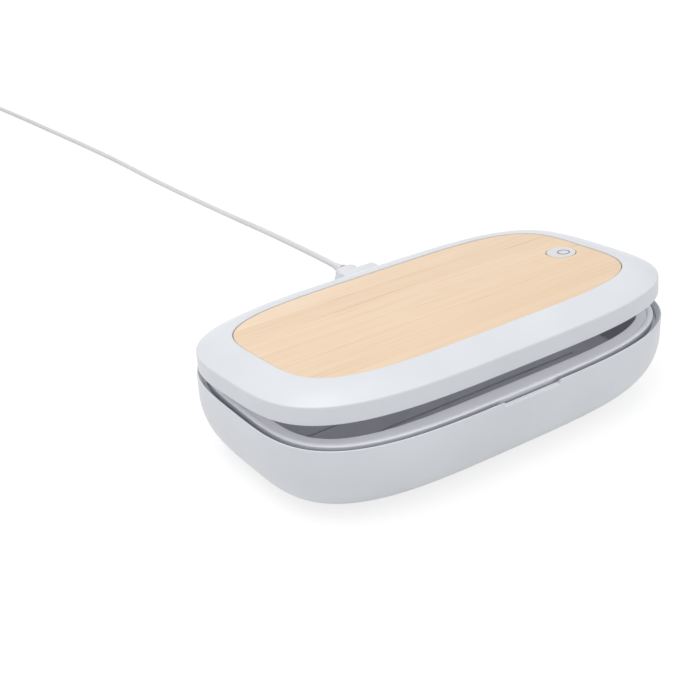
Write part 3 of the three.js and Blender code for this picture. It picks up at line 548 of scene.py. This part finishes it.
# Mesh helpers
def outline(half_x, half_y, power, count=OUTLINE_POINTS):
    points = []
    for i in range(count):
        turn = 2 * math.pi * (i + 0.5) / count
        c, s = math.cos(turn), math.sin(turn)
        points.append((
            half_x * math.copysign(abs(c) ** (2 / power), c),
            half_y * math.copysign(abs(s) ** (2 / power), s),
        ))
    return points


def body_ring(width, inset, z, side, power):
    """Lies inside the body's outline by one inset at its ends and by another, or the same, at its sides."""
    side = inset if side is None else side
    shape = outline(BODY_LENGTH / 2 - inset, width / 2 - side, power)
    return [(x, y + BASE_Y, z) for x, y in shape]


def base_ring(inset, z, side=None, power=BASE_POWER):
    return body_ring(BASE_WIDTH, inset, z, side, power)


def lid_ring(inset, z, side=None, power=LID_POWER):
    return body_ring(LID_WIDTH, inset, z, side, power)


def mouth_ring(inset, z):
    """Follows the chamber's mouth, set back from it by the inset."""
    return base_ring(MOUTH_END + inset, z, MOUTH_SIDE + inset, MOUTH_POWER)


def arc(start, corner, end, steps=ARC_STEPS):
    """Points on a quarter bend from start to end, rounding the corner. Points are (inset, height)."""
    made = []
    for i in range(steps + 1):
        t = i / steps
        a, b, c = (1 - t) ** 2, 2 * t * (1 - t), t * t
        made.append(tuple(a * p + b * q + c * r for p, q, r in zip(start, corner, end)))
    return made


def quarter(start, end, steps):
    """A quarter of an ellipse in (inset, height), upright at its end."""
    made = []
    for i in range(steps + 1):
        turn = math.pi / 2 * i / steps
        made.append((
            start[0] + (end[0] - start[0]) * math.sin(turn),
            start[1] + (end[1] - start[1]) * (1 - math.cos(turn)),
        ))
    return made


def new_object(name, made):
    """Turns a finished bmesh into an object of the scene."""
    mesh = bpy.data.meshes.new(name)
    made.to_mesh(mesh)
    made.free()
    obj = bpy.data.objects.new(name, mesh)
    scene.collection.objects.link(obj)
    return obj


def lofted(name, rings, closed=False):
    """A closed body through the rings: capped at both ends, or joined round as a hoop."""
    made = bmesh.new()
    loops = [[made.verts.new(p) for p in ring] for ring in rings]
    count = len(loops[0])
    pairs = list(zip(loops, loops[1:]))
    if closed:
        pairs.append((loops[-1], loops[0]))
    for low, high in pairs:
        for i in range(count):
            j = (i + 1) % count
            made.faces.new((low[i], low[j], high[j], high[i]))
    if not closed:
        made.faces.new(list(reversed(loops[0])))
        made.faces.new(loops[-1])
    bmesh.ops.recalc_face_normals(made, faces=made.faces)
    return new_object(name, made)


def box(name, low, high, rounding=0.0, segments=BEVEL_SEGMENTS):
    made = bmesh.new()
    bmesh.ops.create_cube(made, size=1)
    for v in made.verts:
        v.co = Vector(
            (lo + hi) / 2 + c * (hi - lo) for lo, hi, c in zip(low, high, v.co)
        )
    if rounding:
        bmesh.ops.bevel(
            made, geom=made.edges[:], offset=rounding, segments=segments, affect="EDGES", profile=0.5
        )
    return new_object(name, made)


def turned(name, profile, centre, axis="Z", count=ROUND_SIDES):
    """A body turned from (radius, height) points about an axis through centre."""
    made = bmesh.new()
    rings = []
    for radius, height in profile:
        if radius < ON_AXIS:
            rings.append([made.verts.new((0, 0, height))])
            continue
        rings.append([
            made.verts.new((
                radius * math.cos(2 * math.pi * i / count),
                radius * math.sin(2 * math.pi * i / count),
                height,
            ))
            for i in range(count)
        ])
    for low, high in zip(rings, rings[1:]):
        for i in range(count):
            j = (i + 1) % count
            corners = [low[i % len(low)], low[j % len(low)], high[j % len(high)], high[i % len(high)]]
            made.faces.new(list(dict.fromkeys(corners)))
    bmesh.ops.recalc_face_normals(made, faces=made.faces)
    obj = new_object(name, made)
    spin = {"X": Matrix.Rotation(math.pi / 2, 4, "Y"), "Y": Matrix.Rotation(-math.pi / 2, 4, "X")}
    obj.data.transform(Matrix.Translation(centre) @ spin.get(axis, Matrix.Identity(4)))
    return obj


def rod(name, radius, start, length, axis="Z", edge=0.0, count=ROUND_SIDES):
    """A round bar from start along +axis, with rounded ends where it has an edge."""
    rise = [(radius, 0)]
    if edge:
        bend = edge * EDGE_BEND_SHARE
        rise = [(radius - edge, 0), (radius - bend, bend), (radius, edge)]
    fall = [(out, length - height) for out, height in reversed(rise)]
    return turned(name, [(0, 0)] + rise + fall + [(0, length)], start, axis, count)


def carve(target, tools, operation="DIFFERENCE"):
    """Cuts the tools out of the target, or joins them to it, and removes the tools."""
    bpy.context.view_layer.update()
    for tool in tools:
        modifier = target.modifiers.new("carve", "BOOLEAN")
        modifier.operation = operation
        modifier.solver = "EXACT"
        modifier.object = tool
    graph = bpy.context.evaluated_depsgraph_get()
    mesh = bpy.data.meshes.new_from_object(target.evaluated_get(graph))
    target.modifiers.clear()
    target.data = mesh
    for tool in tools:
        bpy.data.objects.remove(tool)
    return target


def finish_piece(obj, material, body, replaced=(), angle=SMOOTH_ANGLE, on_lid=False):
    """Shades, paints and seats a piece, and lets it ride on its body."""
    if on_lid:
        obj.data.transform(LID_TURN)
    obj.data.materials.clear()
    obj.data.materials.append(material)
    obj.data.polygons.foreach_set("use_smooth", [True] * len(obj.data.polygons))
    obj.data.set_sharp_from_angle(angle=math.radians(angle))
    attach(obj, body)
    if replaced:
        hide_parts(*replaced)
    return obj


# Hinge line: sides -1 and 1 are left and right of the housing
SIDES = (-1, 1)


def hinge_bar(name, radius, ends, edge=0.0, count=ROUND_SIDES):
    """A round bar on the hinge line, between two ends given in either order."""
    low, high = min(ends), max(ends)
    return rod(name, radius, (low, HINGE_Y, HINGE_Z), high - low, "X", edge, count)


def hinge_arm(ends, front, bottom, top):
    """A knuckle or ear and the arm that joins it to its shell."""
    bar = hinge_bar("bar", KNUCKLE_RADIUS, ends, HINGE_EDGE)
    low = (min(ends) + ARM_SHY, front, bottom)
    high = (max(ends) - ARM_SHY, HINGE_Y, top)
    return [bar, box("arm", low, high, HINGE_EDGE)]


def housing_end(side, extra=0.0):
    return PORT_OFFSET + side * (HOUSING_WIDTH / 2 + extra)


def housing_cut(clearance):
    ends = housing_end(-1, clearance), housing_end(1, clearance)
    return hinge_bar("cut", HOUSING_RADIUS + clearance, ends, count=FINE_SIDES)


def knuckle_ends(side, extra=0.0):
    return (
        housing_end(side, END_PLAY - extra),
        housing_end(side, END_PLAY + KNUCKLE_LENGTH + extra),
    )


def ear_ends(side):
    return (
        housing_end(side, 2 * END_PLAY + KNUCKLE_LENGTH),
        housing_end(side, 2 * END_PLAY + KNUCKLE_LENGTH + EAR_LENGTH),
    )


# Base
def make_notch():
    """The finger notch: a wedge from the foot of the rim's slope down and out to the front face."""
    front = BASE_Y - BASE_WIDTH / 2
    slope = (NOTCH_DEPTH - RIM_FALL) / SHELL_WALL
    section = [
        (front - OVERRUN, SHELL_TOP - NOTCH_DEPTH - slope * OVERRUN),
        (front + SHELL_WALL, SHELL_TOP - RIM_FALL),
        (front + SHELL_WALL, SHELL_TOP + OVERRUN),
        (front - OVERRUN, SHELL_TOP + OVERRUN),
    ]
    ends = [NOTCH_OFFSET - NOTCH_LENGTH / 2, NOTCH_OFFSET + NOTCH_LENGTH / 2]
    return lofted("notch", [[(x, y, z) for y, z in section] for x in ends])


def make_base_shell():
    shelf = SKIRT_BOTTOM - SEAT_GAP
    profile = quarter((ROLL_IN, SHELL_BOTTOM), (0, SHELL_BOTTOM + ROLL_UP), ROLL_STEPS)
    profile += arc((0, SHELL_TOP - SHELL_EDGE), (0, SHELL_TOP), (SHELL_EDGE, SHELL_TOP), EDGE_STEPS)
    slope = RIM_FALL / (SHELL_WALL - RIM_EDGE)
    bend = SHELL_EDGE / 2
    profile += arc(
        (RIM_EDGE - bend / 2, SHELL_TOP),
        (RIM_EDGE, SHELL_TOP),
        (RIM_EDGE + bend, SHELL_TOP - slope * bend),
        FINE_EDGE_STEPS,
    )
    profile.append((SHELL_WALL, SHELL_TOP - RIM_FALL))
    profile += [(SHELL_WALL, shelf), (SKIRT_INNER, shelf), (SKIRT_INNER, shelf - 2 * SHELL_WALL)]
    inner_foot, inner_top = (ROLL_IN + SHELL_WALL, CAVITY_FLOOR), (SHELL_WALL, shelf - 3 * SHELL_WALL)
    profile += reversed(quarter(inner_foot, inner_top, INNER_ROLL_STEPS))
    shell = lofted("base_shell_look", [base_ring(inset, z) for inset, z in profile])
    base_back = HINGE_Y - HINGE_BACK
    ears = []
    for side in SIDES:
        ears += hinge_arm(ear_ends(side), base_back - ARM_INSET, HINGE_Z - KNUCKLE_RADIUS, HINGE_Z)
    carve(shell, ears, "UNION")
    cuts = [make_notch(), housing_cut(SEAT_GAP)]
    for side in SIDES:
        cuts.append(hinge_bar("cut", KNUCKLE_RADIUS + 2 * SEAT_GAP, knuckle_ends(side, SEAT_GAP)))
    for node in ("foot", "base_screw"):
        for where in ("front_left", "front_right", "rear_left", "rear_right"):
            low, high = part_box(f"{node}_{where}")
            middle = (low + high) / 2
            radius = (high.x - low.x) / 2 + SEAT_GAP
            top = high.z + SEAT_GAP if node == "foot" else low.z + (high.z - low.z) * SCREW_HEAD_SHARE
            cuts.append(rod("cut", radius, (middle.x, middle.y, -OVERRUN), top + OVERRUN))
    carve(shell, cuts)
    return finish_piece(shell, white, "base", ("base_shell",))


def make_inner_frame():
    bead_in = SKIRT_INSET + BEAD_WIDTH
    profile = [(SKIRT_INSET, SKIRT_BOTTOM)]
    profile += arc(
        (SKIRT_INSET, SHELL_TOP - BEAD_ROUND),
        (SKIRT_INSET, SHELL_TOP),
        (SKIRT_INSET + BEAD_ROUND, SHELL_TOP),
    )
    profile += arc(
        (bead_in - BEAD_ROUND, SHELL_TOP),
        (bead_in - BEAD_ROUND / 4, SHELL_TOP),
        (bead_in + BEAD_ROUND / 2, LEDGE_TOP),
    )
    rings = [base_ring(inset, z) for inset, z in profile]
    end_mouth = LEDGE_TOP - LEDGE_FALL
    for inset, z in arc((MOUTH_ROUND, end_mouth), (0, end_mouth), (0, end_mouth - MOUTH_ROUND)):
        rings.append(mouth_ring(-inset, z))
    rings.append(mouth_ring(0, LEDGE_BOTTOM))
    rings.append(base_ring(SKIRT_INNER, LEDGE_BOTTOM))
    rings.append(base_ring(SKIRT_INNER, SKIRT_BOTTOM))
    piece = carve(lofted("inner_frame_look", rings, closed=True), [housing_cut(SEAT_GAP)])
    return finish_piece(piece, white_frame, "base", ("inner_frame",))


def make_tray():
    def bend(radius, floor, extra):
        made = []
        for i in range(TRAY_STEPS + 1):
            turn = math.pi / 2 * i / TRAY_STEPS
            inset = TRAY_DRAFT + radius * (1 - math.sin(turn)) - extra
            made.append(mouth_ring(inset - TRAY_OVERHANG, floor + radius * (1 - math.cos(turn))))
        return made

    rings = bend(TRAY_CORNER, TRAY_FLOOR - TRAY_WALL, TRAY_WALL)
    rings.append(mouth_ring(-TRAY_OVERHANG - TRAY_WALL, FLANGE_BOTTOM))
    rings.append(base_ring(SKIRT_INNER + SEAT_GAP, FLANGE_BOTTOM))
    rings.append(base_ring(SKIRT_INNER + SEAT_GAP, TRAY_TOP))
    rings.append(mouth_ring(-TRAY_OVERHANG, TRAY_TOP))
    rings += reversed(bend(TRAY_CORNER - TRAY_WALL, TRAY_FLOOR, 0))
    tray = lofted("tray_look", rings)
    ribs = []
    for i in range(TRAY_RIBS):
        y = BASE_Y + (i - (TRAY_RIBS - 1) / 2) * RIB_PITCH
        ribs.append(box(
            "rib",
            (-RIB_LENGTH / 2, y - RIB_WIDTH / 2, TRAY_FLOOR - TRAY_WALL / 2),
            (RIB_LENGTH / 2, y + RIB_WIDTH / 2, TRAY_FLOOR + RIB_HEIGHT),
            RIB_EDGE,
        ))
    carve(tray, ribs, "UNION")
    low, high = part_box("interlock_magnet")
    pocket = box(
        "pocket",
        (low.x - SEAT_GAP, low.y - OVERRUN, FLANGE_BOTTOM - OVERRUN),
        (high.x + SEAT_GAP, high.y + SEAT_GAP, TRAY_TOP + OVERRUN),
    )
    carve(tray, [pocket, housing_cut(SEAT_GAP)])
    return finish_piece(tray, tray_grey, "base", ("tray_liner",))


def make_housing():
    low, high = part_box("usb_port")
    ends = housing_end(-1), housing_end(1)
    body = hinge_bar("port_housing_look", HOUSING_RADIUS, ends, HOUSING_EDGE, HOUSING_SIDES)
    pad = box(
        "pad",
        (housing_end(-1, OVERRUN), PAD_Y, HINGE_Z - 2 * HOUSING_RADIUS),
        (housing_end(1, OVERRUN), HINGE_Y + 2 * HOUSING_RADIUS, HINGE_Z + 2 * HOUSING_RADIUS),
    )
    port = box(
        "port",
        (low.x - SEAT_GAP, low.y - SEAT_GAP, low.z - SEAT_GAP),
        (high.x + SEAT_GAP, PAD_Y + OVERRUN, high.z + SEAT_GAP),
        PORT_EDGE,
        PORT_SEGMENTS,
    )
    carve(body, [pad, port])
    return finish_piece(body, white, "base", ("port_housing",))


# Lid
def untilted_box(node):
    """A lid node's corners with the lid closed."""
    back = LID_TURN.inverted()
    points = [back @ v.co for v in nodes[node].data.vertices]
    low = Vector(min(p[k] for p in points) for k in range(3))
    high = Vector(max(p[k] for p in points) for k in range(3))
    return low, high


def make_lid_shell():
    end, side = PANEL_END - SEAT_GAP, PANEL_SIDE - SEAT_GAP
    rings = [lid_ring(end, z, side, PANEL_POWER) for z in (DECK_TOP, PANEL_TOP - RECESS_EDGE)]
    for i in range(RIM_STEPS + 1):
        share = min(1 - i / RIM_STEPS, RIM_TOP_SHARE)
        z = CREASE_Z + (PANEL_TOP - CREASE_Z) * math.sin(share * math.pi / 2)
        rings.append(lid_ring(
            CREASE_ROUND + (end - CREASE_ROUND) * share,
            z,
            CREASE_ROUND + (side - CREASE_ROUND) * share,
            LID_POWER + (PANEL_POWER - LID_POWER) * share,
        ))
    profile = arc(
        (CREASE_ROUND, CREASE_Z),
        (0, CREASE_Z - CREASE_ROUND * CREASE_CORNER_SHARE),
        (0, CREASE_Z - CREASE_ROUND * CREASE_DROP_SHARE),
    )[1:]
    profile += arc((0, LID_BOTTOM + BAND_EDGE), (0, LID_BOTTOM), (BAND_EDGE, LID_BOTTOM))
    profile += arc(
        (LID_WALL - BAND_EDGE / 2, LID_BOTTOM),
        (LID_WALL, LID_BOTTOM),
        (LID_WALL, LID_BOTTOM + BAND_EDGE / 2),
    )
    profile += [(LID_WALL, DECK_BOTTOM - CAVITY_CHAMFER), (LID_WALL + CAVITY_CHAMFER, DECK_BOTTOM)]
    rings += [lid_ring(inset, z) for inset, z in profile]
    shell = lofted("lid_shell_look", rings)
    lid_back = BASE_Y + LID_WIDTH / 2
    arm_bottom = LID_BOTTOM + SEAT_GAP / 2
    knuckles = []
    for where in SIDES:
        knuckles += hinge_arm(knuckle_ends(where), lid_back - ARM_INSET, arm_bottom, HINGE_Z + KNUCKLE_RADIUS)
    carve(shell, knuckles, "UNION")
    hole = rod("hole", BUTTON_WELL, (BUTTON_OFFSET, BASE_Y, DECK_BOTTOM - OVERRUN), 3 * OVERRUN)
    carve(shell, [hole, housing_cut(HOUSING_RELIEF)])
    return finish_piece(shell, white, "lid", ("lid_shell",), on_lid=True)


def make_panel():
    bottom = DECK_TOP + SEAT_GAP
    profile = [(0, bottom)]
    profile += arc((0, PANEL_FACE - PANEL_EDGE), (0, PANEL_FACE), (PANEL_EDGE, PANEL_FACE), FINE_EDGE_STEPS)
    rings = [lid_ring(PANEL_END + inset, z, PANEL_SIDE + inset, PANEL_POWER) for inset, z in profile]
    panel = lofted("bamboo_panel_look", rings)
    hole_radius = BUTTON_RADIUS + SEAT_GAP
    cutter = turned(
        "cut",
        [
            (0, bottom - OVERRUN),
            (hole_radius, bottom - OVERRUN),
            (hole_radius, PANEL_FACE - PANEL_EDGE),
            (hole_radius + PANEL_EDGE, PANEL_FACE + PANEL_EDGE / 10),
            (hole_radius + PANEL_EDGE, PANEL_FACE + OVERRUN),
            (0, PANEL_FACE + OVERRUN),
        ],
        (BUTTON_OFFSET, BASE_Y, 0),
        count=FINE_SIDES,
    )
    carve(panel, [cutter])
    return finish_piece(panel, bamboo, "lid", ("bamboo_panel",), on_lid=True)


def make_cover():
    inset = LID_WALL + SEAT_GAP
    profile = [(inset + COVER_EDGE, COVER_BOTTOM), (inset, COVER_BOTTOM + COVER_EDGE), (inset, COVER_TOP)]
    cover = lofted("lid_cover_look", [lid_ring(i, z) for i, z in profile])
    cuts = [housing_cut(HOUSING_RELIEF)]
    for i in range(WINDOW_COUNT):
        low, high = untilted_box(f"led_window_{i + 1}")
        middle = (low + high) / 2
        for radius, start in ((WINDOW_OPENING, COVER_BOTTOM - OVERRUN), (WINDOW_POCKET, low.z - SEAT_GAP)):
            cuts.append(rod("cut", radius, (middle.x, middle.y, start), 3 * OVERRUN, count=WINDOW_SIDES))
    carve(cover, cuts)
    return finish_piece(cover, reflector, "lid", ("lid_cover",), on_lid=True)


def make_seal():
    low, high = untilted_box("lid_seal")
    outer = BODY_LENGTH / 2 - high.x
    inner = outer + SEAL_WIDTH
    bend = low.z + SEAL_EDGE
    profile = arc((outer, bend), (outer, low.z), (outer + SEAL_EDGE, low.z), EDGE_STEPS)
    profile += arc((inner - SEAL_EDGE, low.z), (inner, low.z), (inner, bend), EDGE_STEPS)
    profile += [(inner, high.z), (outer, high.z)]
    seal = lofted("lid_seal_look", [lid_ring(i, z) for i, z in profile], closed=True)
    return finish_piece(seal, grey_rubber, "lid", ("lid_seal",), on_lid=True)


def make_button():
    low, high = untilted_box("button_cap")
    top = high.z
    under = top - CAP_THICKNESS
    profile = [(0, low.z), (CAP_STEM, low.z), (CAP_STEM, under), (BUTTON_RADIUS, under)]
    profile += arc((BUTTON_RADIUS, top - CAP_EDGE), (BUTTON_RADIUS, top), (BUTTON_RADIUS - CAP_EDGE, top))
    profile += [(BUTTON_RADIUS * out, top - CAP_DISH * down) for out, down in DISH_SHARES]
    cap = turned("button_cap_look", profile, (BUTTON_OFFSET, BASE_Y, 0), count=FINE_SIDES)
    finish_piece(cap, button_white, "button", ("button_cap",), on_lid=True)
    inner, outer = MARK_RADIUS - MARK_HALF_WIDTH, MARK_RADIUS + MARK_HALF_WIDTH
    foot = top - CAP_DISH
    face = foot + MARK_RISE
    profile = [(inner, foot), (inner, face), (outer, face), (outer, foot), (inner, foot)]
    centre = (BUTTON_OFFSET + MARK_SHIFT[0], BASE_Y + MARK_SHIFT[1], 0)
    mark = turned("button_mark", profile, centre)
    finish_piece(mark, mark_grey, "button", on_lid=True)


# Cable and its plugs
def coil_point(turns):
    """A point of the coil: each layer winds in or out, and climbs to the next within a short turn."""
    period = 2 * TURNS_PER_LAYER
    phase = turns % period
    inward = phase if phase < TURNS_PER_LAYER else period - phase
    layer = turns / TURNS_PER_LAYER
    nearest = round(layer)
    away = (layer - nearest) * TURNS_PER_LAYER
    if 0 < nearest < COIL_LAYERS and abs(away) < CLIMB_TURNS:
        level = nearest - 0.5 + away / (2 * CLIMB_TURNS)
    else:
        level = min(math.floor(layer), COIL_LAYERS - 1)
    radius = COIL_RADIUS + TURNS_PER_LAYER * COIL_PITCH / 2 - inward * COIL_PITCH
    turn = 2 * math.pi * turns
    return (
        COIL_CENTRE[0] + radius * math.cos(turn),
        COIL_CENTRE[1] + radius * math.sin(turn),
        COIL_LIFT + CORD_RISE + level * COIL_PITCH,
    )


def make_cord():
    total = TURNS_PER_LAYER * COIL_LAYERS
    steps = round(total * COIL_STEPS_PER_TURN)
    coil = [coil_point(total * i / steps) for i in range(steps + 1)]
    x, y, z = coil[-1]
    drop = z - END_GRIP_HEIGHT / 2
    tail = [(x - TAIL_LENGTH * along, y, z - drop * down) for along, down in TAIL_SHARES]
    points = RUN_POINTS + coil + tail
    curve = bpy.data.curves.new("usb_cable", "CURVE")
    curve.dimensions = "3D"
    curve.bevel_depth = CORD_RADIUS
    curve.bevel_resolution = CORD_STEPS
    curve.use_fill_caps = True
    curve.resolution_u = CORD_STEPS
    spline = curve.splines.new("BEZIER")
    spline.bezier_points.add(len(points) - 1)
    for i, (handle, point) in enumerate(zip(spline.bezier_points, points)):
        here = Vector(point)
        before = Vector(points[max(i - 1, 0)])
        after = Vector(points[min(i + 1, len(points) - 1)])
        ahead = (after - before).normalized()
        handle.co = here
        handle.handle_left_type = "FREE"
        handle.handle_right_type = "FREE"
        handle.handle_left = here - ahead * (here - before).length / 3
        handle.handle_right = here + ahead * (after - here).length / 3
    cable = bpy.data.objects.new("usb_cable", curve)
    scene.collection.objects.link(cable)
    curve.materials.append(cord_white)
    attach(cable, "base")
    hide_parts("cable_run", "cable_coil", "cable_tail")
    return cable


def slab_rings(stations, width, height, rounding, place):
    """Rings of a rounded rectangle along a line; place turns (along, across, up) into a point."""
    rings = []
    for along, inset in stations:
        half_w, half_h = width / 2 - inset, height / 2 - inset
        power = SLAB_POWER + SLAB_SQUARENESS * min(1.0, min(half_w, half_h) / rounding)
        rings.append([place(along, a, b) for a, b in outline(half_w, half_h, power, ROUND_SIDES)])
    return rings


def make_plug():
    low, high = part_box("plug_grip")
    length = high.y - low.y
    bend = GRIP_EDGE * EDGE_BEND_SHARE
    stations = [(0, GRIP_EDGE), (bend, bend), (GRIP_EDGE, 0)]
    stations += [(length * share, inset) for share, inset in GRIP_TAPER]
    rings = slab_rings(
        stations, high.x - low.x, high.z - low.z, GRIP_ROUND,
        lambda along, across, up: (PORT_OFFSET + across, low.y + along, PORT_Z + up),
    )
    grip = lofted("plug_grip_look", rings)
    finish_piece(grip, cord_white, "base", ("plug_grip",))
    low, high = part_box("strain_relief")
    length, start = high.y - low.y, (high.x - low.x) / 2
    profile = [(0, 0)]
    for i in range(RELIEF_STEPS + 1):
        share = i / RELIEF_STEPS
        radius = start + (RELIEF_END - start) * math.sin(share * math.pi / 2)
        profile.append((radius, (length - RELIEF_EDGE) * share))
    profile += [(RELIEF_END - RELIEF_EDGE, length), (0, length)]
    relief = turned("strain_relief_look", profile, (PORT_OFFSET, low.y, PORT_Z), "Y")
    finish_piece(relief, cord_white, "base", ("strain_relief",), angle=RELIEF_SMOOTH_ANGLE)
    return grip, relief


def make_end_plug():
    low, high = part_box("end_plug_grip")
    length, middle_y, middle_z = high.x - low.x, (low.y + high.y) / 2, (low.z + high.z) / 2
    bend = GRIP_EDGE * EDGE_BEND_SHARE
    stations = END_GRIP_NOSE + [(length * END_GRIP_BELLY_SHARE, 0)]
    stations += [(length - GRIP_EDGE, 0), (length - bend, bend), (length, GRIP_EDGE)]
    rings = slab_rings(
        stations, high.y - low.y, high.z - low.z, END_GRIP_ROUND,
        lambda along, across, up: (high.x - along, middle_y + across, middle_z + up),
    )
    grip = lofted("end_plug_grip_look", rings)
    finish_piece(grip, cord_white, "base", ("end_plug_grip",))
    low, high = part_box("end_plug_shell")
    shell = box("end_plug_shell_look", low, high, END_SHELL_EDGE)
    inner = box(
        "inner",
        (low.x - OVERRUN, low.y + END_SHELL_WALL, (low.z + high.z) / 2),
        (high.x - END_SHELL_WALL, high.y - END_SHELL_WALL, high.z - END_SHELL_WALL),
    )
    carve(shell, [inner])
    for place in END_WINDOW_PLACES:
        x = low.x + place
        windows = [
            box(
                "window",
                (x, y - END_WINDOW_HALF_WIDTH, high.z - END_WINDOW_DEPTH),
                (x + END_WINDOW_LENGTH, y + END_WINDOW_HALF_WIDTH, high.z + OVERRUN),
            )
            for y in (low.y + END_WINDOW_SIDE, high.y - END_WINDOW_SIDE)
        ]
        carve(shell, windows)
    finish_piece(shell, nickel, "base", ("end_plug_shell",))
    return grip, shell


# Floor and light
def make_floor():
    """A floor that bounces light as near-white and shows itself as a pale glow with soft shadows."""
    made = bmesh.new()
    bmesh.ops.create_grid(made, x_segments=1, y_segments=1, size=FLOOR_SIZE)
    floor = new_object("floor", made)
    shader = Shader("floor", FLOOR_ROUGHNESS)
    path = shader.node("ShaderNodeLightPath")
    seen = shader.math("MAXIMUM", path.outputs["Is Camera Ray"], path.outputs["Is Glossy Ray"])
    seen = shader.math("MAXIMUM", seen, path.outputs["Is Transmission Ray"])
    speck = shader.ramp(shader.noise(FLOOR_NOISE), [(0.0, FLOOR_DARK), (1.0, FLOOR_LIGHT)])
    shader.colour(shader.mix(seen, speck, FLOOR_SEEN))
    shader.main.inputs["Specular IOR Level"].default_value = FLOOR_SPECULAR
    shader.main.inputs["Emission Color"].default_value = (*WHITE, 1.0)
    shader.link(shader.math("MULTIPLY", seen, FLOOR_LIFT), shader.main.inputs["Emission Strength"])
    floor.data.materials.append(shader.material)


def make_world():
    """White behind the object for the camera, and an even soft light for all else."""
    world = bpy.data.worlds.new("world")
    scene.world = world
    world.use_nodes = True
    tree = world.node_tree
    background = tree.nodes["Background"]
    background.inputs["Color"].default_value = (*WHITE, 1.0)
    background.inputs["Strength"].default_value = WORLD_STRENGTH
    white_back = tree.nodes.new("ShaderNodeBackground")
    white_back.inputs["Color"].default_value = (*WHITE, 1.0)
    path = tree.nodes.new("ShaderNodeLightPath")
    mix = tree.nodes.new("ShaderNodeMixShader")
    tree.links.new(path.outputs["Is Camera Ray"], mix.inputs[0])
    tree.links.new(background.outputs[0], mix.inputs[1])
    tree.links.new(white_back.outputs[0], mix.inputs[2])
    tree.links.new(mix.outputs[0], tree.nodes["World Output"].inputs["Surface"])


def make_lamp(name, place, aim, size, watts):
    data = bpy.data.lights.new(name, "AREA")
    data.shape = "DISK"
    data.size = size
    data.energy = watts
    lamp = bpy.data.objects.new(name, data)
    lamp.location = place
    lamp.rotation_mode = "QUATERNION"
    lamp.rotation_quaternion = (Vector(aim) - Vector(place)).to_track_quat("-Z", "Y")
    scene.collection.objects.link(lamp)
    return lamp


def light_only(lamp, pieces):
    """Keeps a soft lamp and its shadows to these pieces alone."""
    for use in ("receiver_collection", "blocker_collection"):
        group = bpy.data.collections.new(f"{lamp.name}_{use}")
        for piece in pieces:
            group.objects.link(piece)
        setattr(lamp.light_linking, use, group)


def dress_nodes():
    """Materials for the solids that stay as they are."""
    looks = {
        "steel": nickel,
        "rubber_grey": grey_rubber,
        "board_green": board_green,
        "black_plastic": black_plastic,
        "quartz": quartz,
    }
    for part in frame["record"]["subparts"]:
        obj = nodes[part["node"]]
        if obj.hide_render:
            continue
        obj.data.materials.clear()
        obj.data.materials.append(looks[part["material_slot"]])
        obj.data.polygons.foreach_set("use_smooth", [False] * len(obj.data.polygons))


cable = make_cord()
shell_look = make_base_shell()
frame_look = make_inner_frame()
tray_look = make_tray()
make_housing()
make_lid_shell()
make_panel()
make_cover()
make_seal()
make_button()
grip, relief = make_plug()
end_grip, end_shell = make_end_plug()
dress_nodes()
make_floor()
make_world()
scene.view_settings.view_transform = "Standard"
lamps = {name: make_lamp(name, *values) for name, values in LAMPS.items()}
light_only(lamps["inside"], [frame_look, tray_look])
light_only(lamps["edge"], [shell_look])
